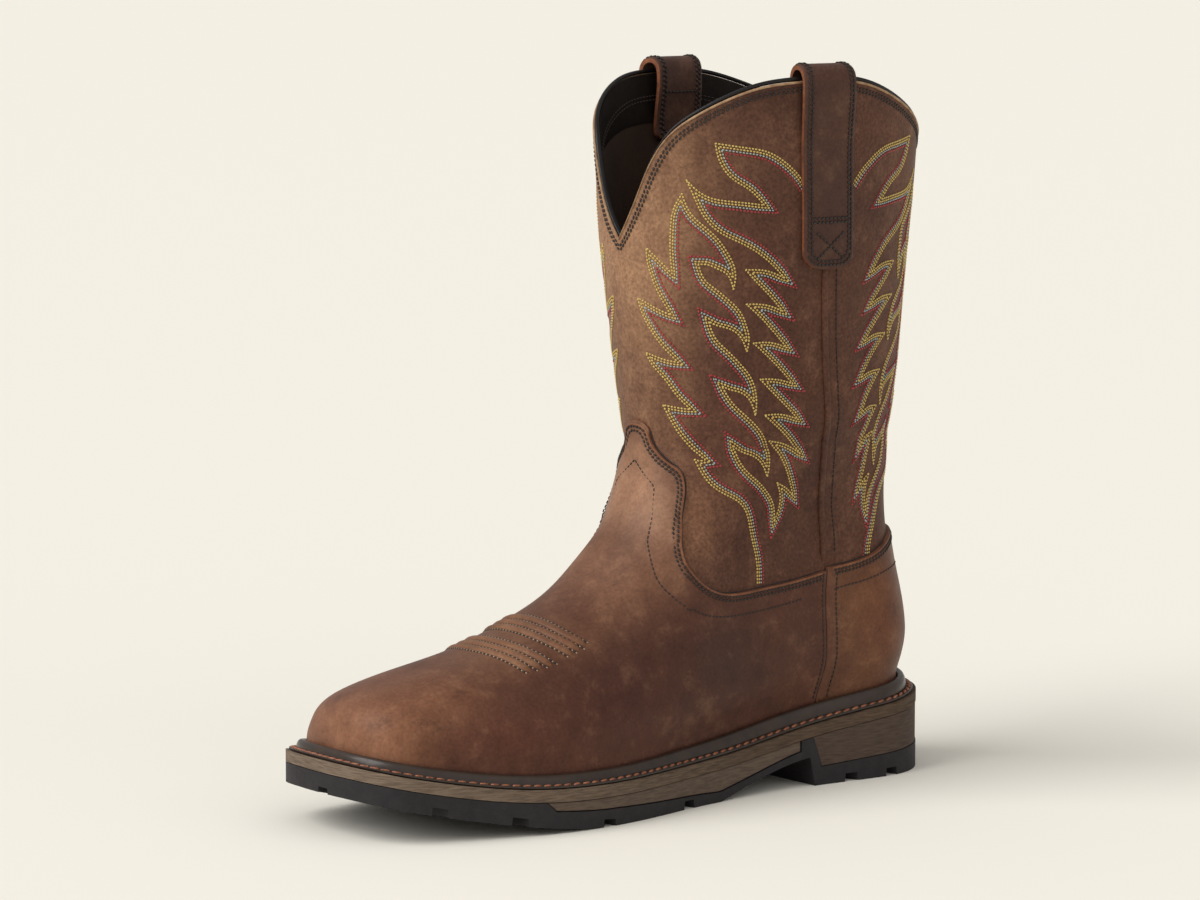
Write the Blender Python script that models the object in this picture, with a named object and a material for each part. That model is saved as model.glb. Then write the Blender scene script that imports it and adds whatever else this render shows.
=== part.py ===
"""A left western work boot: pull-on shaft, broad square toe, welted lug sole.

Metres, +Z up, the toe towards -Y and the wearer's outer side towards +X.
The floor is z = 0 and the origin lies under the middle of the sole.
A place on the boot is told by s, the distance forward from the back of the sole.
"""

import bpy
import bmesh
import numpy as np

# Driving sizes
LENGTH = 0.305
BALL_WIDTH = 0.110
WAIST_WIDTH = 0.072
HEEL_WIDTH = 0.079
TOE_WIDTH = 0.078
HEEL_HEIGHT = 0.035
FOREFOOT_HEIGHT = 0.0175
TOE_HEIGHT = 0.0315
TOE_SPRING = 0.018
THROAT_HEIGHT = 0.142
SHAFT_HEIGHT = 0.302
SHAFT_DEPTH = 0.155
SHAFT_WIDTH = 0.108
COLLAR_FRONT_DIP = 0.066
COLLAR_BACK_DIP = 0.036

# Layers and clearances
GAP = 0.0003
WALL = 0.0022
OVERLAY = 0.0016
WELT_WIDTH = 0.0085
WELT_LEDGE = 0.0014
WELT_BEAD = 0.0054
HEEL_BEAD = 0.0072
STITCH_LEDGE = 0.0030
WELT_SETBACK = 0.0014
INSOLE_THICKNESS = 0.0035
MIDSOLE_THICKNESS = 0.0050
PANEL_THICKNESS = 0.0046
PANEL_RECESS = 0.0006
LIFT_FRONT = 0.0075
LIFT_BACK = 0.0125
SKIN_INSET = WELT_WIDTH + GAP + OVERLAY

# Rounded ends of the foot's outline
HEEL_ROUND = 0.0285
TOE_ROUND = 0.0165
TOE_POWER = 2.6
SHAFT_POWER = 2.1

# Heel and tread
HEEL_LENGTH = 0.079
BREAST_HEIGHT = 0.0125
BREAST_WALL = 0.0050
BREAST_SLOPE = 0.0045
GROOVE_WIDTH = 0.0062
GROOVE_DEPTH = 0.0036
GROOVE_SLANT = 0.30
GROOVE_PLACES = (0.149, 0.221, 0.536, 0.706, 0.843, 0.942)
CENTRE_RIB = 0.0070
TOE_NOTCH_REACH = 0.0110

# Underside and filler panel, as shares of LENGTH
TREAD_START = 0.430
SPRING_START = 0.655
PANEL_END = 0.742
PANEL_SLOPE = 0.0045
SIDE_RUBBER = 0.0072
# Rubber under the filler panel: share of LENGTH, share of SIDE_RUBBER
RUBBER_ROWS = ((0.270, 0.49), (0.310, 0.42), (0.370, 0.42), (0.440, 0.60), (0.560, 0.81), (0.670, 1.00), (0.742, 0.95))

# Pull straps, side seams and collar
STRAP_WIDTH = 0.0260
STRAP_THICKNESS = 0.0024
STRAP_CENTRE = 0.0862
STRAP_LEAN = 0.065
STRAP_BOW_OUT = 0.0022
STRAP_BOW_IN = 0.0045
STRAP_RISE = 0.0070
STRAP_OUTSIDE = 0.0790
STRAP_INSIDE = 0.0300
PIPING_WIDTH = 0.0030
PIPING_HEIGHT = 0.0013
COLLAR_BEAD = 0.0019

# Half widths of the sole: share of LENGTH from the heel, the width followed, outer and inner shares
SOLE_SECTIONS = (
    (0.00, HEEL_WIDTH, 0.500, 0.500),
    (0.14, HEEL_WIDTH, 0.500, 0.500),
    (0.28, WAIST_WIDTH, 0.520, 0.500),
    (0.40, WAIST_WIDTH, 0.555, 0.455),
    (0.50, BALL_WIDTH, 0.410, 0.335),
    (0.60, BALL_WIDTH, 0.475, 0.425),
    (0.68, BALL_WIDTH, 0.500, 0.485),
    (0.76, BALL_WIDTH, 0.485, 0.500),
    (0.87, TOE_WIDTH, 0.565, 0.655),
    (1.00, TOE_WIDTH, 0.450, 0.600),
)
# How far the upper swells past its foot line: share of LENGTH, outer and inner shares of WELT_WIDTH
SWELL_SECTIONS = (
    (0.00, 0.35, 0.35),
    (0.14, 0.45, 0.45),
    (0.28, 0.70, 0.85),
    (0.42, 0.80, 1.20),
    (0.55, 0.50, 0.75),
    (0.68, 0.35, 0.40),
    (0.85, 0.25, 0.25),
    (1.00, 0.10, 0.10),
)
# Top of the midsole: share of LENGTH, rise towards the heel, rise towards the toe
SEAT_SECTIONS = (
    (0.00, 1.00, 0.00),
    (0.13, 0.77, 0.00),
    (0.26, 0.49, 0.00),
    (0.39, 0.15, 0.00),
    (0.52, 0.02, 0.00),
    (0.67, 0.00, 0.00),
    (0.82, 0.00, 0.21),
    (1.00, 0.00, 1.00),
)
# Side view of the foot: level as a share of THROAT_HEIGHT, front and back as shares of LENGTH
FOOT_FRONT = (
    (0.180, 0.9658),
    (0.225, 0.9658),
    (0.265, 0.9656),
    (0.310, 0.9632),
    (0.346, 0.9550),
    (0.393, 0.9160),
    (0.424, 0.8580),
    (0.453, 0.7920),
    (0.495, 0.7230),
    (0.552, 0.6560),
    (0.634, 0.5900),
    (0.734, 0.5340),
    (0.852, 0.4900),
)
FOOT_BACK = (
    (0.180, 0.0341),
    (0.245, 0.0341),
    (0.295, 0.0342),
    (0.335, 0.0300),
    (0.380, 0.0262),
    (0.465, 0.0260),
    (0.599, 0.0367),
    (0.739, 0.0470),
    (0.880, 0.0492),
)
# Shaft: level (1 at the throat, 2 at the top), back as a share of LENGTH, depth share, width share
SHAFT_SECTIONS = (
    (1.000, 0.0459, 0.834, 0.785),
    (1.144, 0.0403, 0.853, 0.815),
    (1.300, 0.0328, 0.890, 0.852),
    (1.488, 0.0230, 0.935, 0.898),
    (1.706, 0.0125, 0.975, 0.948),
    (2.000, 0.0033, 1.000, 1.000),
)
ANKLE_WIDTHS = ((0.20, 0.66), (0.56, 0.694), (0.78, 0.741))
# Roundness of the foot's arch over its top: share of LENGTH, power
ARCH_POWERS = ((0.0, 2.6), (0.33, 2.4), (0.52, 2.2), (0.72, 2.2), (0.85, 2.4), (1.0, 2.8))
# Rings of the upper: share of the way up, level at the front, level at the back
RING_LEVELS = (
    (0.00, 0.223, 0.249),
    (0.032, 0.262, 0.299),
    (0.08, 0.315, 0.352),
    (0.12, 0.352, 0.415),
    (0.18, 0.394, 0.507),
    (0.24, 0.432, 0.595),
    (0.30, 0.475, 0.680),
    (0.36, 0.535, 0.763),
    (0.42, 0.613, 0.848),
    (0.48, 0.711, 0.937),
    (0.55, 0.845, 1.050),
    (0.62, 1.020, 1.160),
    (0.68, 1.175, 1.250),
    (0.75, 1.360, 1.360),
)
LAST_LEVEL_RING = RING_LEVELS[-1][0]
BEAD_RING = 0.032
# Collar: angle round from the front in radians, share of the dip to the front or the back
COLLAR_DIPS = (
    (0.00, 1.000),
    (0.20, 0.735),
    (0.30, 0.560),
    (0.42, 0.390),
    (0.62, 0.230),
    (0.82, 0.125),
    (1.06, 0.035),
    (1.35, 0.000),
)
COLLAR_BACK_DIPS = ((1.35, 0.00), (1.72, 0.03), (1.94, 0.15), (2.18, 0.33), (2.39, 0.50), (2.75, 0.80), (3.142, 1.00))
# Vamp's top edge from the tongue's peak to the side seam: share of LENGTH behind the front line, level
VAMP_EDGE = (
    (0.000, 1.108),
    (0.0056, 1.090),
    (0.0075, 1.042),
    (0.0111, 1.008),
    (0.0256, 0.980),
    (0.0285, 0.955),
    (0.0321, 0.904),
    (0.0348, 0.844),
    (0.0456, 0.792),
    (0.0620, 0.743),
    (0.0950, 0.690),
    (0.1387, 0.647),
    (0.1890, 0.616),
    (0.2357, 0.609),
    (0.2700, 0.615),
    (0.3140, 0.623),
    (0.3780, 0.648),
)
COUNTER_EDGE = ((0.00, 0.652), (0.30, 0.662), (0.60, 0.690), (0.80, 0.722), (1.00, 0.745))
SEAM_PLACES = ((0.180, 0.232), (0.43, 0.220), (0.58, 0.219), (0.68, 0.214), (0.85, 0.222), (1.16, 0.246), (1.43, 0.262), (1.60, 0.267))

# Mesh density
SIDE_COLUMNS = 29
END_CROWDING = 0.38
LOW_ROWS = 11
HIGH_ROWS = 6


def spline(places, values):
    """A natural cubic curve through the rows of a table."""
    x = np.asarray(places, float)
    y = np.asarray(values, float)
    h = np.diff(x)
    a = np.eye(len(x))
    r = np.zeros(len(x))
    for i in range(1, len(x) - 1):
        a[i, i - 1], a[i, i], a[i, i + 1] = h[i - 1], 2 * (h[i - 1] + h[i]), h[i]
        r[i] = 6 * ((y[i + 1] - y[i]) / h[i] - (y[i] - y[i - 1]) / h[i - 1])
    m = np.linalg.solve(a, r)

    def value(at):
        at = np.clip(np.asarray(at, float), x[0], x[-1])
        i = np.clip(np.searchsorted(x, at) - 1, 0, len(x) - 2)
        left, right, k = x[i + 1] - at, at - x[i], h[i]
        bend = (m[i] * left**3 + m[i + 1] * right**3) / (6 * k)
        return bend + (y[i] / k - m[i] * k / 6) * left + (y[i + 1] / k - m[i + 1] * k / 6) * right

    return value


def column(table, index, size=1.0):
    return [row[index] * size for row in table]


def smooth_step(x, low, high):
    t = np.clip((np.asarray(x, float) - low) / (high - low), 0, 1)
    return t * t * (3 - 2 * t)


def end_cap(distance, radius, power):
    """Share of the half width left at a distance from a rounded end."""
    q = np.clip(1 - np.asarray(distance, float) / radius, 0, 1)
    return (1 - q**power) ** (1 / power)


def height_of(level):
    """Height of a level: shares of THROAT_HEIGHT up to 1, then of the shaft up to 2."""
    level = np.asarray(level, float)
    above = np.maximum(level - 1, 0) * (SHAFT_HEIGHT - THROAT_HEIGHT)
    return np.minimum(level, 1) * THROAT_HEIGHT + above


_along = column(SOLE_SECTIONS, 0, LENGTH)
sole_outer = spline(_along, [row[1] * row[2] for row in SOLE_SECTIONS])
sole_inner = spline(_along, [row[1] * row[3] for row in SOLE_SECTIONS])
swell_outer = spline(column(SWELL_SECTIONS, 0, LENGTH), column(SWELL_SECTIONS, 1, WELT_WIDTH))
swell_inner = spline(column(SWELL_SECTIONS, 0, LENGTH), column(SWELL_SECTIONS, 2, WELT_WIDTH))
arch_power = spline(column(ARCH_POWERS, 0, LENGTH), column(ARCH_POWERS, 1))
_heel_rise = spline(column(SEAT_SECTIONS, 0, LENGTH), column(SEAT_SECTIONS, 1, HEEL_HEIGHT - FOREFOOT_HEIGHT))
_toe_rise = spline(column(SEAT_SECTIONS, 0, LENGTH), column(SEAT_SECTIONS, 2, TOE_HEIGHT - FOREFOOT_HEIGHT))

_front_rows = [(height_of(level), place * LENGTH) for level, place in FOOT_FRONT]
_front_rows += [(height_of(r[0]), r[1] * LENGTH + r[2] * SHAFT_DEPTH) for r in SHAFT_SECTIONS]
_back_rows = [(height_of(level), place * LENGTH) for level, place in FOOT_BACK]
_back_rows += [(height_of(r[0]), r[1] * LENGTH) for r in SHAFT_SECTIONS]
_width_rows = [(height_of(level), share * SHAFT_WIDTH / 2) for level, share in ANKLE_WIDTHS]
_width_rows += [(height_of(r[0]), r[3] * SHAFT_WIDTH / 2) for r in SHAFT_SECTIONS]
front_at = spline(column(_front_rows, 0), column(_front_rows, 1))
back_at = spline(column(_back_rows, 0), column(_back_rows, 1))
shaft_half = spline(column(_width_rows, 0), column(_width_rows, 1))

_profile_z = np.linspace(_front_rows[0][0], SHAFT_HEIGHT, 800)
_profile_s = front_at(_profile_z)
_furthest = int(np.argmax(_profile_s))
_profile_z, _profile_s = _profile_z[_furthest:], np.minimum.accumulate(_profile_s[_furthest:])
_falling = np.r_[True, np.diff(_profile_s) < 0]

ring_front = spline(column(RING_LEVELS, 0), [height_of(row[1]) for row in RING_LEVELS])
ring_back = spline(column(RING_LEVELS, 0), [height_of(row[2]) for row in RING_LEVELS])
_dip_front = spline(column(COLLAR_DIPS, 0), column(COLLAR_DIPS, 1, COLLAR_FRONT_DIP))
_dip_back = spline(column(COLLAR_BACK_DIPS, 0), column(COLLAR_BACK_DIPS, 1, COLLAR_BACK_DIP))
seam_at = spline([height_of(row[0]) for row in SEAM_PLACES], column(SEAM_PLACES, 1, LENGTH))


def seat_at(s):
    """Height of the midsole's top."""
    return FOREFOOT_HEIGHT + _heel_rise(s) + _toe_rise(s)


def ridge_at(s):
    """Height of the foot's top line."""
    return np.interp(-np.asarray(s, float), -_profile_s[_falling], _profile_z[_falling])


def bead_at(s):
    """Height of the welt's raised bead, taller round the heel."""
    return HEEL_BEAD + (WELT_BEAD - HEEL_BEAD) * smooth_step(s, 0.30 * LENGTH, 0.62 * LENGTH)


def collar_at(theta):
    """Height of the collar at an angle round from the front."""
    join = COLLAR_DIPS[-1][0]
    dip = np.where(theta < join, _dip_front(theta), _dip_back(theta))
    return SHAFT_HEIGHT - dip


def half_width(side, s, z):
    """Half width of the upper's skin at a place in the side view; side is 1 outer, -1 inner."""
    s, z = np.asarray(s, float), np.asarray(z, float)
    heel_end, toe_end = back_at(z), front_at(z)
    sole, swell = (sole_outer, swell_outer) if side > 0 else (sole_inner, swell_inner)
    seat = seat_at(s)
    rise = z - seat
    bead = bead_at(s)
    foot = sole(s) - SKIN_INSET + swell(s) * smooth_step(rise, bead, bead + 4 * WELT_BEAD)
    share = np.clip(rise / np.maximum(ridge_at(s) - seat, 1e-4), 0, 1)
    power = arch_power(s)
    low = 1 - smooth_step(z, 0.32 * THROAT_HEIGHT, 0.43 * THROAT_HEIGHT)
    foot = foot * (1 - share**power) ** (1 / power)
    foot = foot * end_cap(s - heel_end, HEEL_ROUND, 2.0) * end_cap(toe_end - s, TOE_ROUND, TOE_POWER) ** low
    centre, reach = (toe_end + heel_end) / 2, (toe_end - heel_end) / 2
    off = np.clip(np.abs(s - centre) / reach, 0, 1)
    shaft = shaft_half(z) * (1 - off**SHAFT_POWER) ** (1 / SHAFT_POWER)
    blend = smooth_step(z, 0.53 * THROAT_HEIGHT, 1.16 * THROAT_HEIGHT)
    return foot * (1 - blend) + shaft * blend


def place_on(theta, v):
    """Side-view place of the skin at an angle from the front and a share of the way up."""
    t = (1 + np.cos(theta)) / 2
    low = np.minimum(v, LAST_LEVEL_RING)
    z_front, z_back = ring_front(low), ring_back(low)
    s_front, s_back = front_at(z_front), back_at(z_back)
    s = s_back + t * (s_front - s_back)
    z = z_back + t * (z_front - z_back)
    sag = 1 - smooth_step(v, 0.06, 0.36)
    z = z + sag * (seat_at(s) - seat_at(s_back) - t * (seat_at(s_front) - seat_at(s_back)))
    up = np.clip((v - LAST_LEVEL_RING) / (1 - LAST_LEVEL_RING), 0, 1)
    z = np.where(up > 0, z_back + up * (collar_at(theta) - z_back), z)
    s = np.where(up > 0, back_at(z) + t * (front_at(z) - back_at(z)), s)
    return s, z


def skin(phi, v):
    """Point of the skin; phi runs from -pi to pi, 0 at the front and positive on the outer side."""
    phi, v = np.broadcast_arrays(np.asarray(phi, float), np.asarray(v, float))
    phi = (phi + np.pi) % (2 * np.pi) - np.pi
    s, z = place_on(np.abs(phi), np.clip(v, 0, 1))
    x = np.where(phi >= 0, half_width(1, s, z), -half_width(-1, s, z))
    return np.stack([x, LENGTH / 2 - s, z], -1)


def skin_off(phi, v, offset):
    """Point at a distance outward from the skin."""
    turn, lift = 0.05, 0.008
    across = skin(phi + turn, v) - skin(phi - turn, v)
    up = skin(phi, np.clip(v + lift, 0, 1)) - skin(phi, np.clip(v - lift, 0, 1))
    normal = np.cross(across, up)
    normal /= np.linalg.norm(normal, axis=-1, keepdims=True)
    return skin(phi, v) + normal * np.asarray(offset, float)[..., None]


def find(side, s, z):
    """Angle and share of the way up for a place in the side view."""
    s, z = np.broadcast_arrays(np.asarray(s, float), np.asarray(z, float))
    low, high = np.zeros(s.shape), np.ones(s.shape)
    for _ in range(40):
        v = (low + high) / 2
        theta = angle_of(s, v)
        _, reached = place_on(theta, v)
        low, high = np.where(reached < z, v, low), np.where(reached < z, high, v)
    return side * angle_of(s, v), v


def angle_of(s, v):
    """Angle at which the ring at v passes over s."""
    low = np.minimum(v, LAST_LEVEL_RING)
    theta = np.full(np.shape(s), np.pi / 2)
    for _ in range(12):
        s_front, s_back = front_at(ring_front(low)), back_at(ring_back(low))
        _, z = place_on(theta, v)
        s_front = np.where(v > LAST_LEVEL_RING, front_at(z), s_front)
        s_back = np.where(v > LAST_LEVEL_RING, back_at(z), s_back)
        t = np.clip((s - s_back) / (s_front - s_back), 0, 1)
        theta = np.arccos(2 * t - 1)
    return theta


def material(name, colour, roughness):
    made = bpy.data.materials.new(name)
    made.use_nodes = True
    shader = made.node_tree.nodes["Principled BSDF"]
    shader.inputs["Base Color"].default_value = (*colour, 1.0)
    shader.inputs["Roughness"].default_value = roughness
    shader.inputs["Metallic"].default_value = 0.0
    return made


def node(name, points, faces, finish, smooth=True):
    """A named object from points and faces, its normals facing out."""
    mesh = bpy.data.meshes.new(name)
    mesh.from_pydata([tuple(map(float, p)) for p in points], [], [tuple(map(int, f)) for f in faces])
    work = bmesh.new()
    work.from_mesh(mesh)
    bmesh.ops.remove_doubles(work, verts=work.verts, dist=1e-6)
    bmesh.ops.dissolve_degenerate(work, dist=1e-7, edges=work.edges)
    bmesh.ops.triangulate(work, faces=work.faces)
    bmesh.ops.recalc_face_normals(work, faces=work.faces)
    work.to_mesh(mesh)
    work.free()
    if smooth:
        mesh.shade_smooth()
        mesh.set_sharp_from_angle(angle=0.7)
    mesh.materials.append(finish)
    made = bpy.data.objects.new(name, mesh)
    bpy.context.scene.collection.objects.link(made)
    return made


def sheet_solid(outer, inner, wrap):
    """Points and faces of a wall between two equal grids of points."""
    rows, columns = outer.shape[:2]
    points = np.concatenate([outer.reshape(-1, 3), inner.reshape(-1, 3)])
    half = rows * columns
    faces = []
    last = columns if wrap else columns - 1
    for i in range(rows - 1):
        for j in range(last):
            k = (j + 1) % columns
            a, b, c, d = i * columns + j, i * columns + k, (i + 1) * columns + k, (i + 1) * columns + j
            faces += [(a, b, c, d), (half + d, half + c, half + b, half + a)]
    for i, flip in ((0, True), (rows - 1, False)):
        for j in range(last):
            a, b = i * columns + j, i * columns + (j + 1) % columns
            faces.append((a, half + a, half + b, b) if flip else (a, b, half + b, half + a))
    if not wrap:
        for j, flip in ((0, False), (columns - 1, True)):
            for i in range(rows - 1):
                a, b = i * columns + j, (i + 1) * columns + j
                faces.append((a, half + a, half + b, b) if flip else (a, b, half + b, half + a))
    return points, faces


def all_angles():
    """Angles of the upper's columns, closer together at the toe and the heel."""
    u = np.linspace(0, 1, SIDE_COLUMNS + 1)
    one = np.pi * (u - END_CROWDING * np.sin(2 * np.pi * u) / (2 * np.pi))
    return np.r_[one, -one[-2:0:-1]]


def all_rings():
    """Shares of the way up of the upper's rings."""
    low = np.linspace(2.3 * BEAD_RING, LAST_LEVEL_RING, LOW_ROWS)
    return np.r_[0, BEAD_RING, low, np.linspace(LAST_LEVEL_RING, 1, HIGH_ROWS)[1:]]


def shell(rings, low_offset, high_offset):
    """A wall round the boot between two distances from the skin, on the upper's own grid."""
    v, phi = np.meshgrid(rings, all_angles(), indexing="ij")
    outer = skin_off(phi, v, np.full_like(v, high_offset))
    inner = skin_off(phi, v, np.full_like(v, low_offset))
    lift = GAP * (1 - v[..., None])
    outer[..., 2:] += lift
    inner[..., 2:] += lift
    floor = seat_at(LENGTH / 2 - inner[0, :, 1]) + GAP
    inner[0, :, 2] = floor
    outer[0, :, 2] = seat_at(LENGTH / 2 - outer[0, :, 1]) + GAP
    return sheet_solid(outer, inner, True)


def upper(finish):
    """The shaft and lined foot in one hollow wall, open at the collar and underneath."""
    return node("upper", *shell(all_rings(), -WALL, 0.0), finish)


def vamp_edge(count):
    """Evenly spaced places along the vamp's top edge, from the tongue's peak to the side seam."""
    behind = np.array(column(VAMP_EDGE, 0, LENGTH))
    height = np.array([height_of(row[1]) for row in VAMP_EDGE])
    place = front_at(height) - behind
    walk = np.r_[0, np.cumsum(np.hypot(np.diff(place), np.diff(height)))]
    at = np.linspace(0, walk[-1], count)
    return spline(walk, place)(at), spline(walk, height)(at)


def counter_edge(count):
    """Places along the counter's top edge, from the side seam to the back."""
    share = np.linspace(0, 1, count)
    z = spline(column(COUNTER_EDGE, 0), [height_of(row[1]) for row in COUNTER_EDGE])(share)
    start = float(seam_at(z[0]))
    return start + (float(back_at(z[-1])) - start) * share, z


def overlay(name, edge_s, edge_z, finish, reach=(-BALL_WIDTH, BALL_WIDTH), top=0.72, thickness=OVERLAY):
    """A shaped layer that lies on the skin: a wall round the boot, cut by its outline in side view."""
    rings = all_rings()
    count = int(np.searchsorted(rings, top)) + 1
    layer = node(name, *shell(rings[:count], GAP, GAP + thickness), finish)
    y = LENGTH / 2 - np.asarray(edge_s)
    near = np.column_stack([np.full(len(y), reach[0]), y, edge_z])
    far = np.column_stack([np.full(len(y), reach[1]), y, edge_z])
    combine(layer, prism(name + "_side", near, far), "INTERSECT")
    return layer


def vamp(finish):
    """The front of the foot up to the stepped tongue, one layer from seam to seam."""
    s, z = vamp_edge(46)
    before = s > seam_at(z) + 2 * PIPING_WIDTH
    s, z = s[before], z[before]
    seam_z = np.r_[z[-1] + (z[-1] - z[-2]), np.linspace(0.9 * float(z[-1]), 0.0, 8)]
    edge_s = np.r_[LENGTH, s, seam_at(seam_z) + GAP, LENGTH]
    edge_z = np.r_[z[0] - 0.0005, z, seam_z, 0.0]
    return overlay("vamp", edge_s, edge_z, finish)


def counter(finish):
    """The rear of the foot, from seam to seam round the heel."""
    s, z = counter_edge(16)
    seam_z = np.linspace(0.0, float(z[0]), 9)
    s[0] = seam_at(z[0]) - GAP
    edge_s = np.r_[-0.01, seam_at(seam_z[:-1]) - GAP, s, -0.01]
    edge_z = np.r_[0.0, seam_z[:-1], z, z[-1]]
    return overlay("counter", edge_s, edge_z, finish)


def foot_line():
    """Closed outline of the skin at its foot line, and its outward directions in plan."""
    phi = all_angles()
    line = skin(phi, np.zeros_like(phi))
    ahead, behind = np.roll(line, -1, 0), np.roll(line, 1, 0)
    along = (ahead - behind)[:, :2]
    out = np.stack([along[:, 1], -along[:, 0]], -1)
    out /= np.linalg.norm(out, axis=1, keepdims=True)
    if (out * (line[:, :2] - line[:, :2].mean(0))).sum() < 0:
        out = -out
    return line, out


def outline(inset):
    """The sole's outline in plan, pulled in from its edge."""
    line, out = foot_line()
    return line[:, :2] + out * (SKIN_INSET - inset)


def seat_of(plan):
    """Height of the midsole's top under points of a plan."""
    return seat_at(LENGTH / 2 - plan[:, 1])


def welt(finish):
    """The strip that the upper is sewn to, with its raised bead against the foot."""
    bead_width = WELT_WIDTH - WELT_SETBACK - STITCH_LEDGE
    ledge_end = WELT_SETBACK + STITCH_LEDGE
    section = (
        (WELT_SETBACK, GAP, 0.0),
        (WELT_SETBACK, WELT_LEDGE, 0.0),
        (ledge_end, WELT_LEDGE, 0.0),
        (ledge_end + 0.12 * bead_width, 0.0, 0.62),
        (ledge_end + 0.40 * bead_width, 0.0, 0.95),
        (ledge_end + 0.72 * bead_width, 0.0, 1.00),
        (WELT_WIDTH - GAP, 0.0, 0.90),
        (WELT_WIDTH - GAP, GAP, 0.0),
    )
    rings = []
    for inset, rise, share in section:
        plan = outline(inset)
        bead = bead_at(LENGTH / 2 - plan[:, 1])
        rings.append(np.column_stack([plan, seat_of(plan) + rise + share * bead]))
    count = len(rings[0])
    points = np.concatenate(rings)
    faces = []
    for i in range(len(section)):
        k = (i + 1) % len(section)
        for j in range(count):
            n = (j + 1) % count
            faces.append((i * count + j, i * count + n, k * count + n, k * count + j))
    return node("welt", points, faces, finish)


def insole(finish):
    """The footbed, inside the upper's foot line."""
    plan = outline(SKIN_INSET + WALL + 2 * GAP)
    seat = seat_of(plan)
    count = len(plan)
    top = np.column_stack([plan, seat + GAP + INSOLE_THICKNESS])
    low = np.column_stack([plan, seat + GAP])
    points = np.concatenate([top, low])
    faces = []
    for j in range(count):
        n = (j + 1) % count
        faces.append((j, count + j, count + n, n))
    for j in range(SIDE_COLUMNS):
        loop = [j, j + 1, count - j - 1, (count - j) % count]
        loop = [k for i, k in enumerate(loop) if k not in loop[:i]]
        faces += [tuple(loop), tuple(count + k for k in reversed(loop))]
    return node("insole", points, faces, finish)


def helper(name, points, faces):
    """A closed cutting shape that isn't part of the boot."""
    made = node(name, points, faces, material(name, (0.5, 0.5, 0.5), 0.5), smooth=False)
    made.hide_render = True
    made.display_type = "WIRE"
    return made


def prism(name, outline_a, outline_b):
    """A closed solid between two equal outlines of points."""
    count = len(outline_a)
    points = np.concatenate([outline_a, outline_b])
    faces = [tuple(range(count)), tuple(range(2 * count - 1, count - 1, -1))]
    faces += [(j, count + j, count + (j + 1) % count, (j + 1) % count) for j in range(count)]
    return helper(name, points, faces)


def combine(target, other, operation):
    step = target.modifiers.new(other.name, "BOOLEAN")
    step.object = other
    step.operation = operation
    step.solver = "EXACT"


def sole_layer(name, inset, side_profile, finish, cutter=None):
    """A layer of the sole: its plan outline and its side view, crossed."""
    plan = outline(inset)
    half = BALL_WIDTH
    profile = np.array(side_profile)
    bottom = np.column_stack([plan, np.full(len(plan), -0.01)])
    top = np.column_stack([plan, np.full(len(plan), HEEL_HEIGHT + 0.02)])
    count = len(plan)
    points = np.concatenate([bottom, top])
    faces = [tuple(range(count)), tuple(range(2 * count - 1, count - 1, -1))]
    faces += [(j, count + j, count + (j + 1) % count, (j + 1) % count) for j in range(count)]
    layer = node(name, points, faces, finish)
    y, z = LENGTH / 2 - profile[:, 0], profile[:, 1]
    outer = np.column_stack([np.full(len(y), half), y, z])
    inner = np.column_stack([np.full(len(y), -half), y, z])
    combine(layer, prism(name + "_side", outer, inner), "INTERSECT")
    if cutter is not None:
        combine(layer, cutter, "DIFFERENCE")
    return layer


def tread_at(s):
    """Height of the forefoot's tread, flat under the ball and sprung at the toe."""
    start = SPRING_START * LENGTH
    rise = np.clip((np.asarray(s, float) - start) / (LENGTH - start), 0, 1)
    return TOE_SPRING * rise**1.5


def waist_at(s):
    """Height of the outsole's underside from the breast of the heel to the ball."""
    share = np.clip((np.asarray(s, float) - HEEL_LENGTH) / (TREAD_START * LENGTH - HEEL_LENGTH), 0, 1)
    return BREAST_HEIGHT * (1 - share**1.6) * (1 - 0.25 * share)


rubber_at = spline(column(RUBBER_ROWS, 0, LENGTH), column(RUBBER_ROWS, 1, SIDE_RUBBER))
PANEL_FRONT = PANEL_END * LENGTH


def under_at(s):
    return np.where(np.asarray(s) < TREAD_START * LENGTH, waist_at(s), tread_at(s))


def panel_low(s):
    """Underside of the brown panel, on the rubber."""
    return under_at(s) + rubber_at(s)


def between(start, end):
    """Places along the sole from start to end, the same ones for every layer that meets there."""
    shared = np.linspace(-0.01, LENGTH + 0.01, 46)
    low, high = min(start, end), max(start, end)
    inside = shared[(shared > low + 1e-3) & (shared < high - 1e-3)]
    found = np.r_[low, inside, high]
    return found if start < end else found[::-1]


def midsole_low(s):
    return seat_at(s) - MIDSOLE_THICKNESS


def midsole(finish):
    s = between(-0.01, LENGTH + 0.01)
    top = np.column_stack([s, seat_at(s)])
    low = np.column_stack([s[::-1], midsole_low(s[::-1])])
    return sole_layer("midsole", 0.0, np.vstack([top, low]), finish)


def panel(finish):
    """The brown filler between the midsole and the rubber, from the heel's breast to the ball."""
    s = between(HEEL_LENGTH + BREAST_WALL, PANEL_FRONT)
    low = np.column_stack([s, panel_low(s) + GAP])
    s = between(PANEL_FRONT + PANEL_SLOPE, HEEL_LENGTH + BREAST_WALL)
    top = np.column_stack([s, midsole_low(s) - GAP])
    return sole_layer("sole_panel", PANEL_RECESS, np.vstack([low, top]), finish)


def lift_at(s):
    """Top of the rubber heel lift."""
    return LIFT_BACK + (LIFT_FRONT - LIFT_BACK) * np.clip(np.asarray(s, float) / HEEL_LENGTH, 0, 1)


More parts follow.
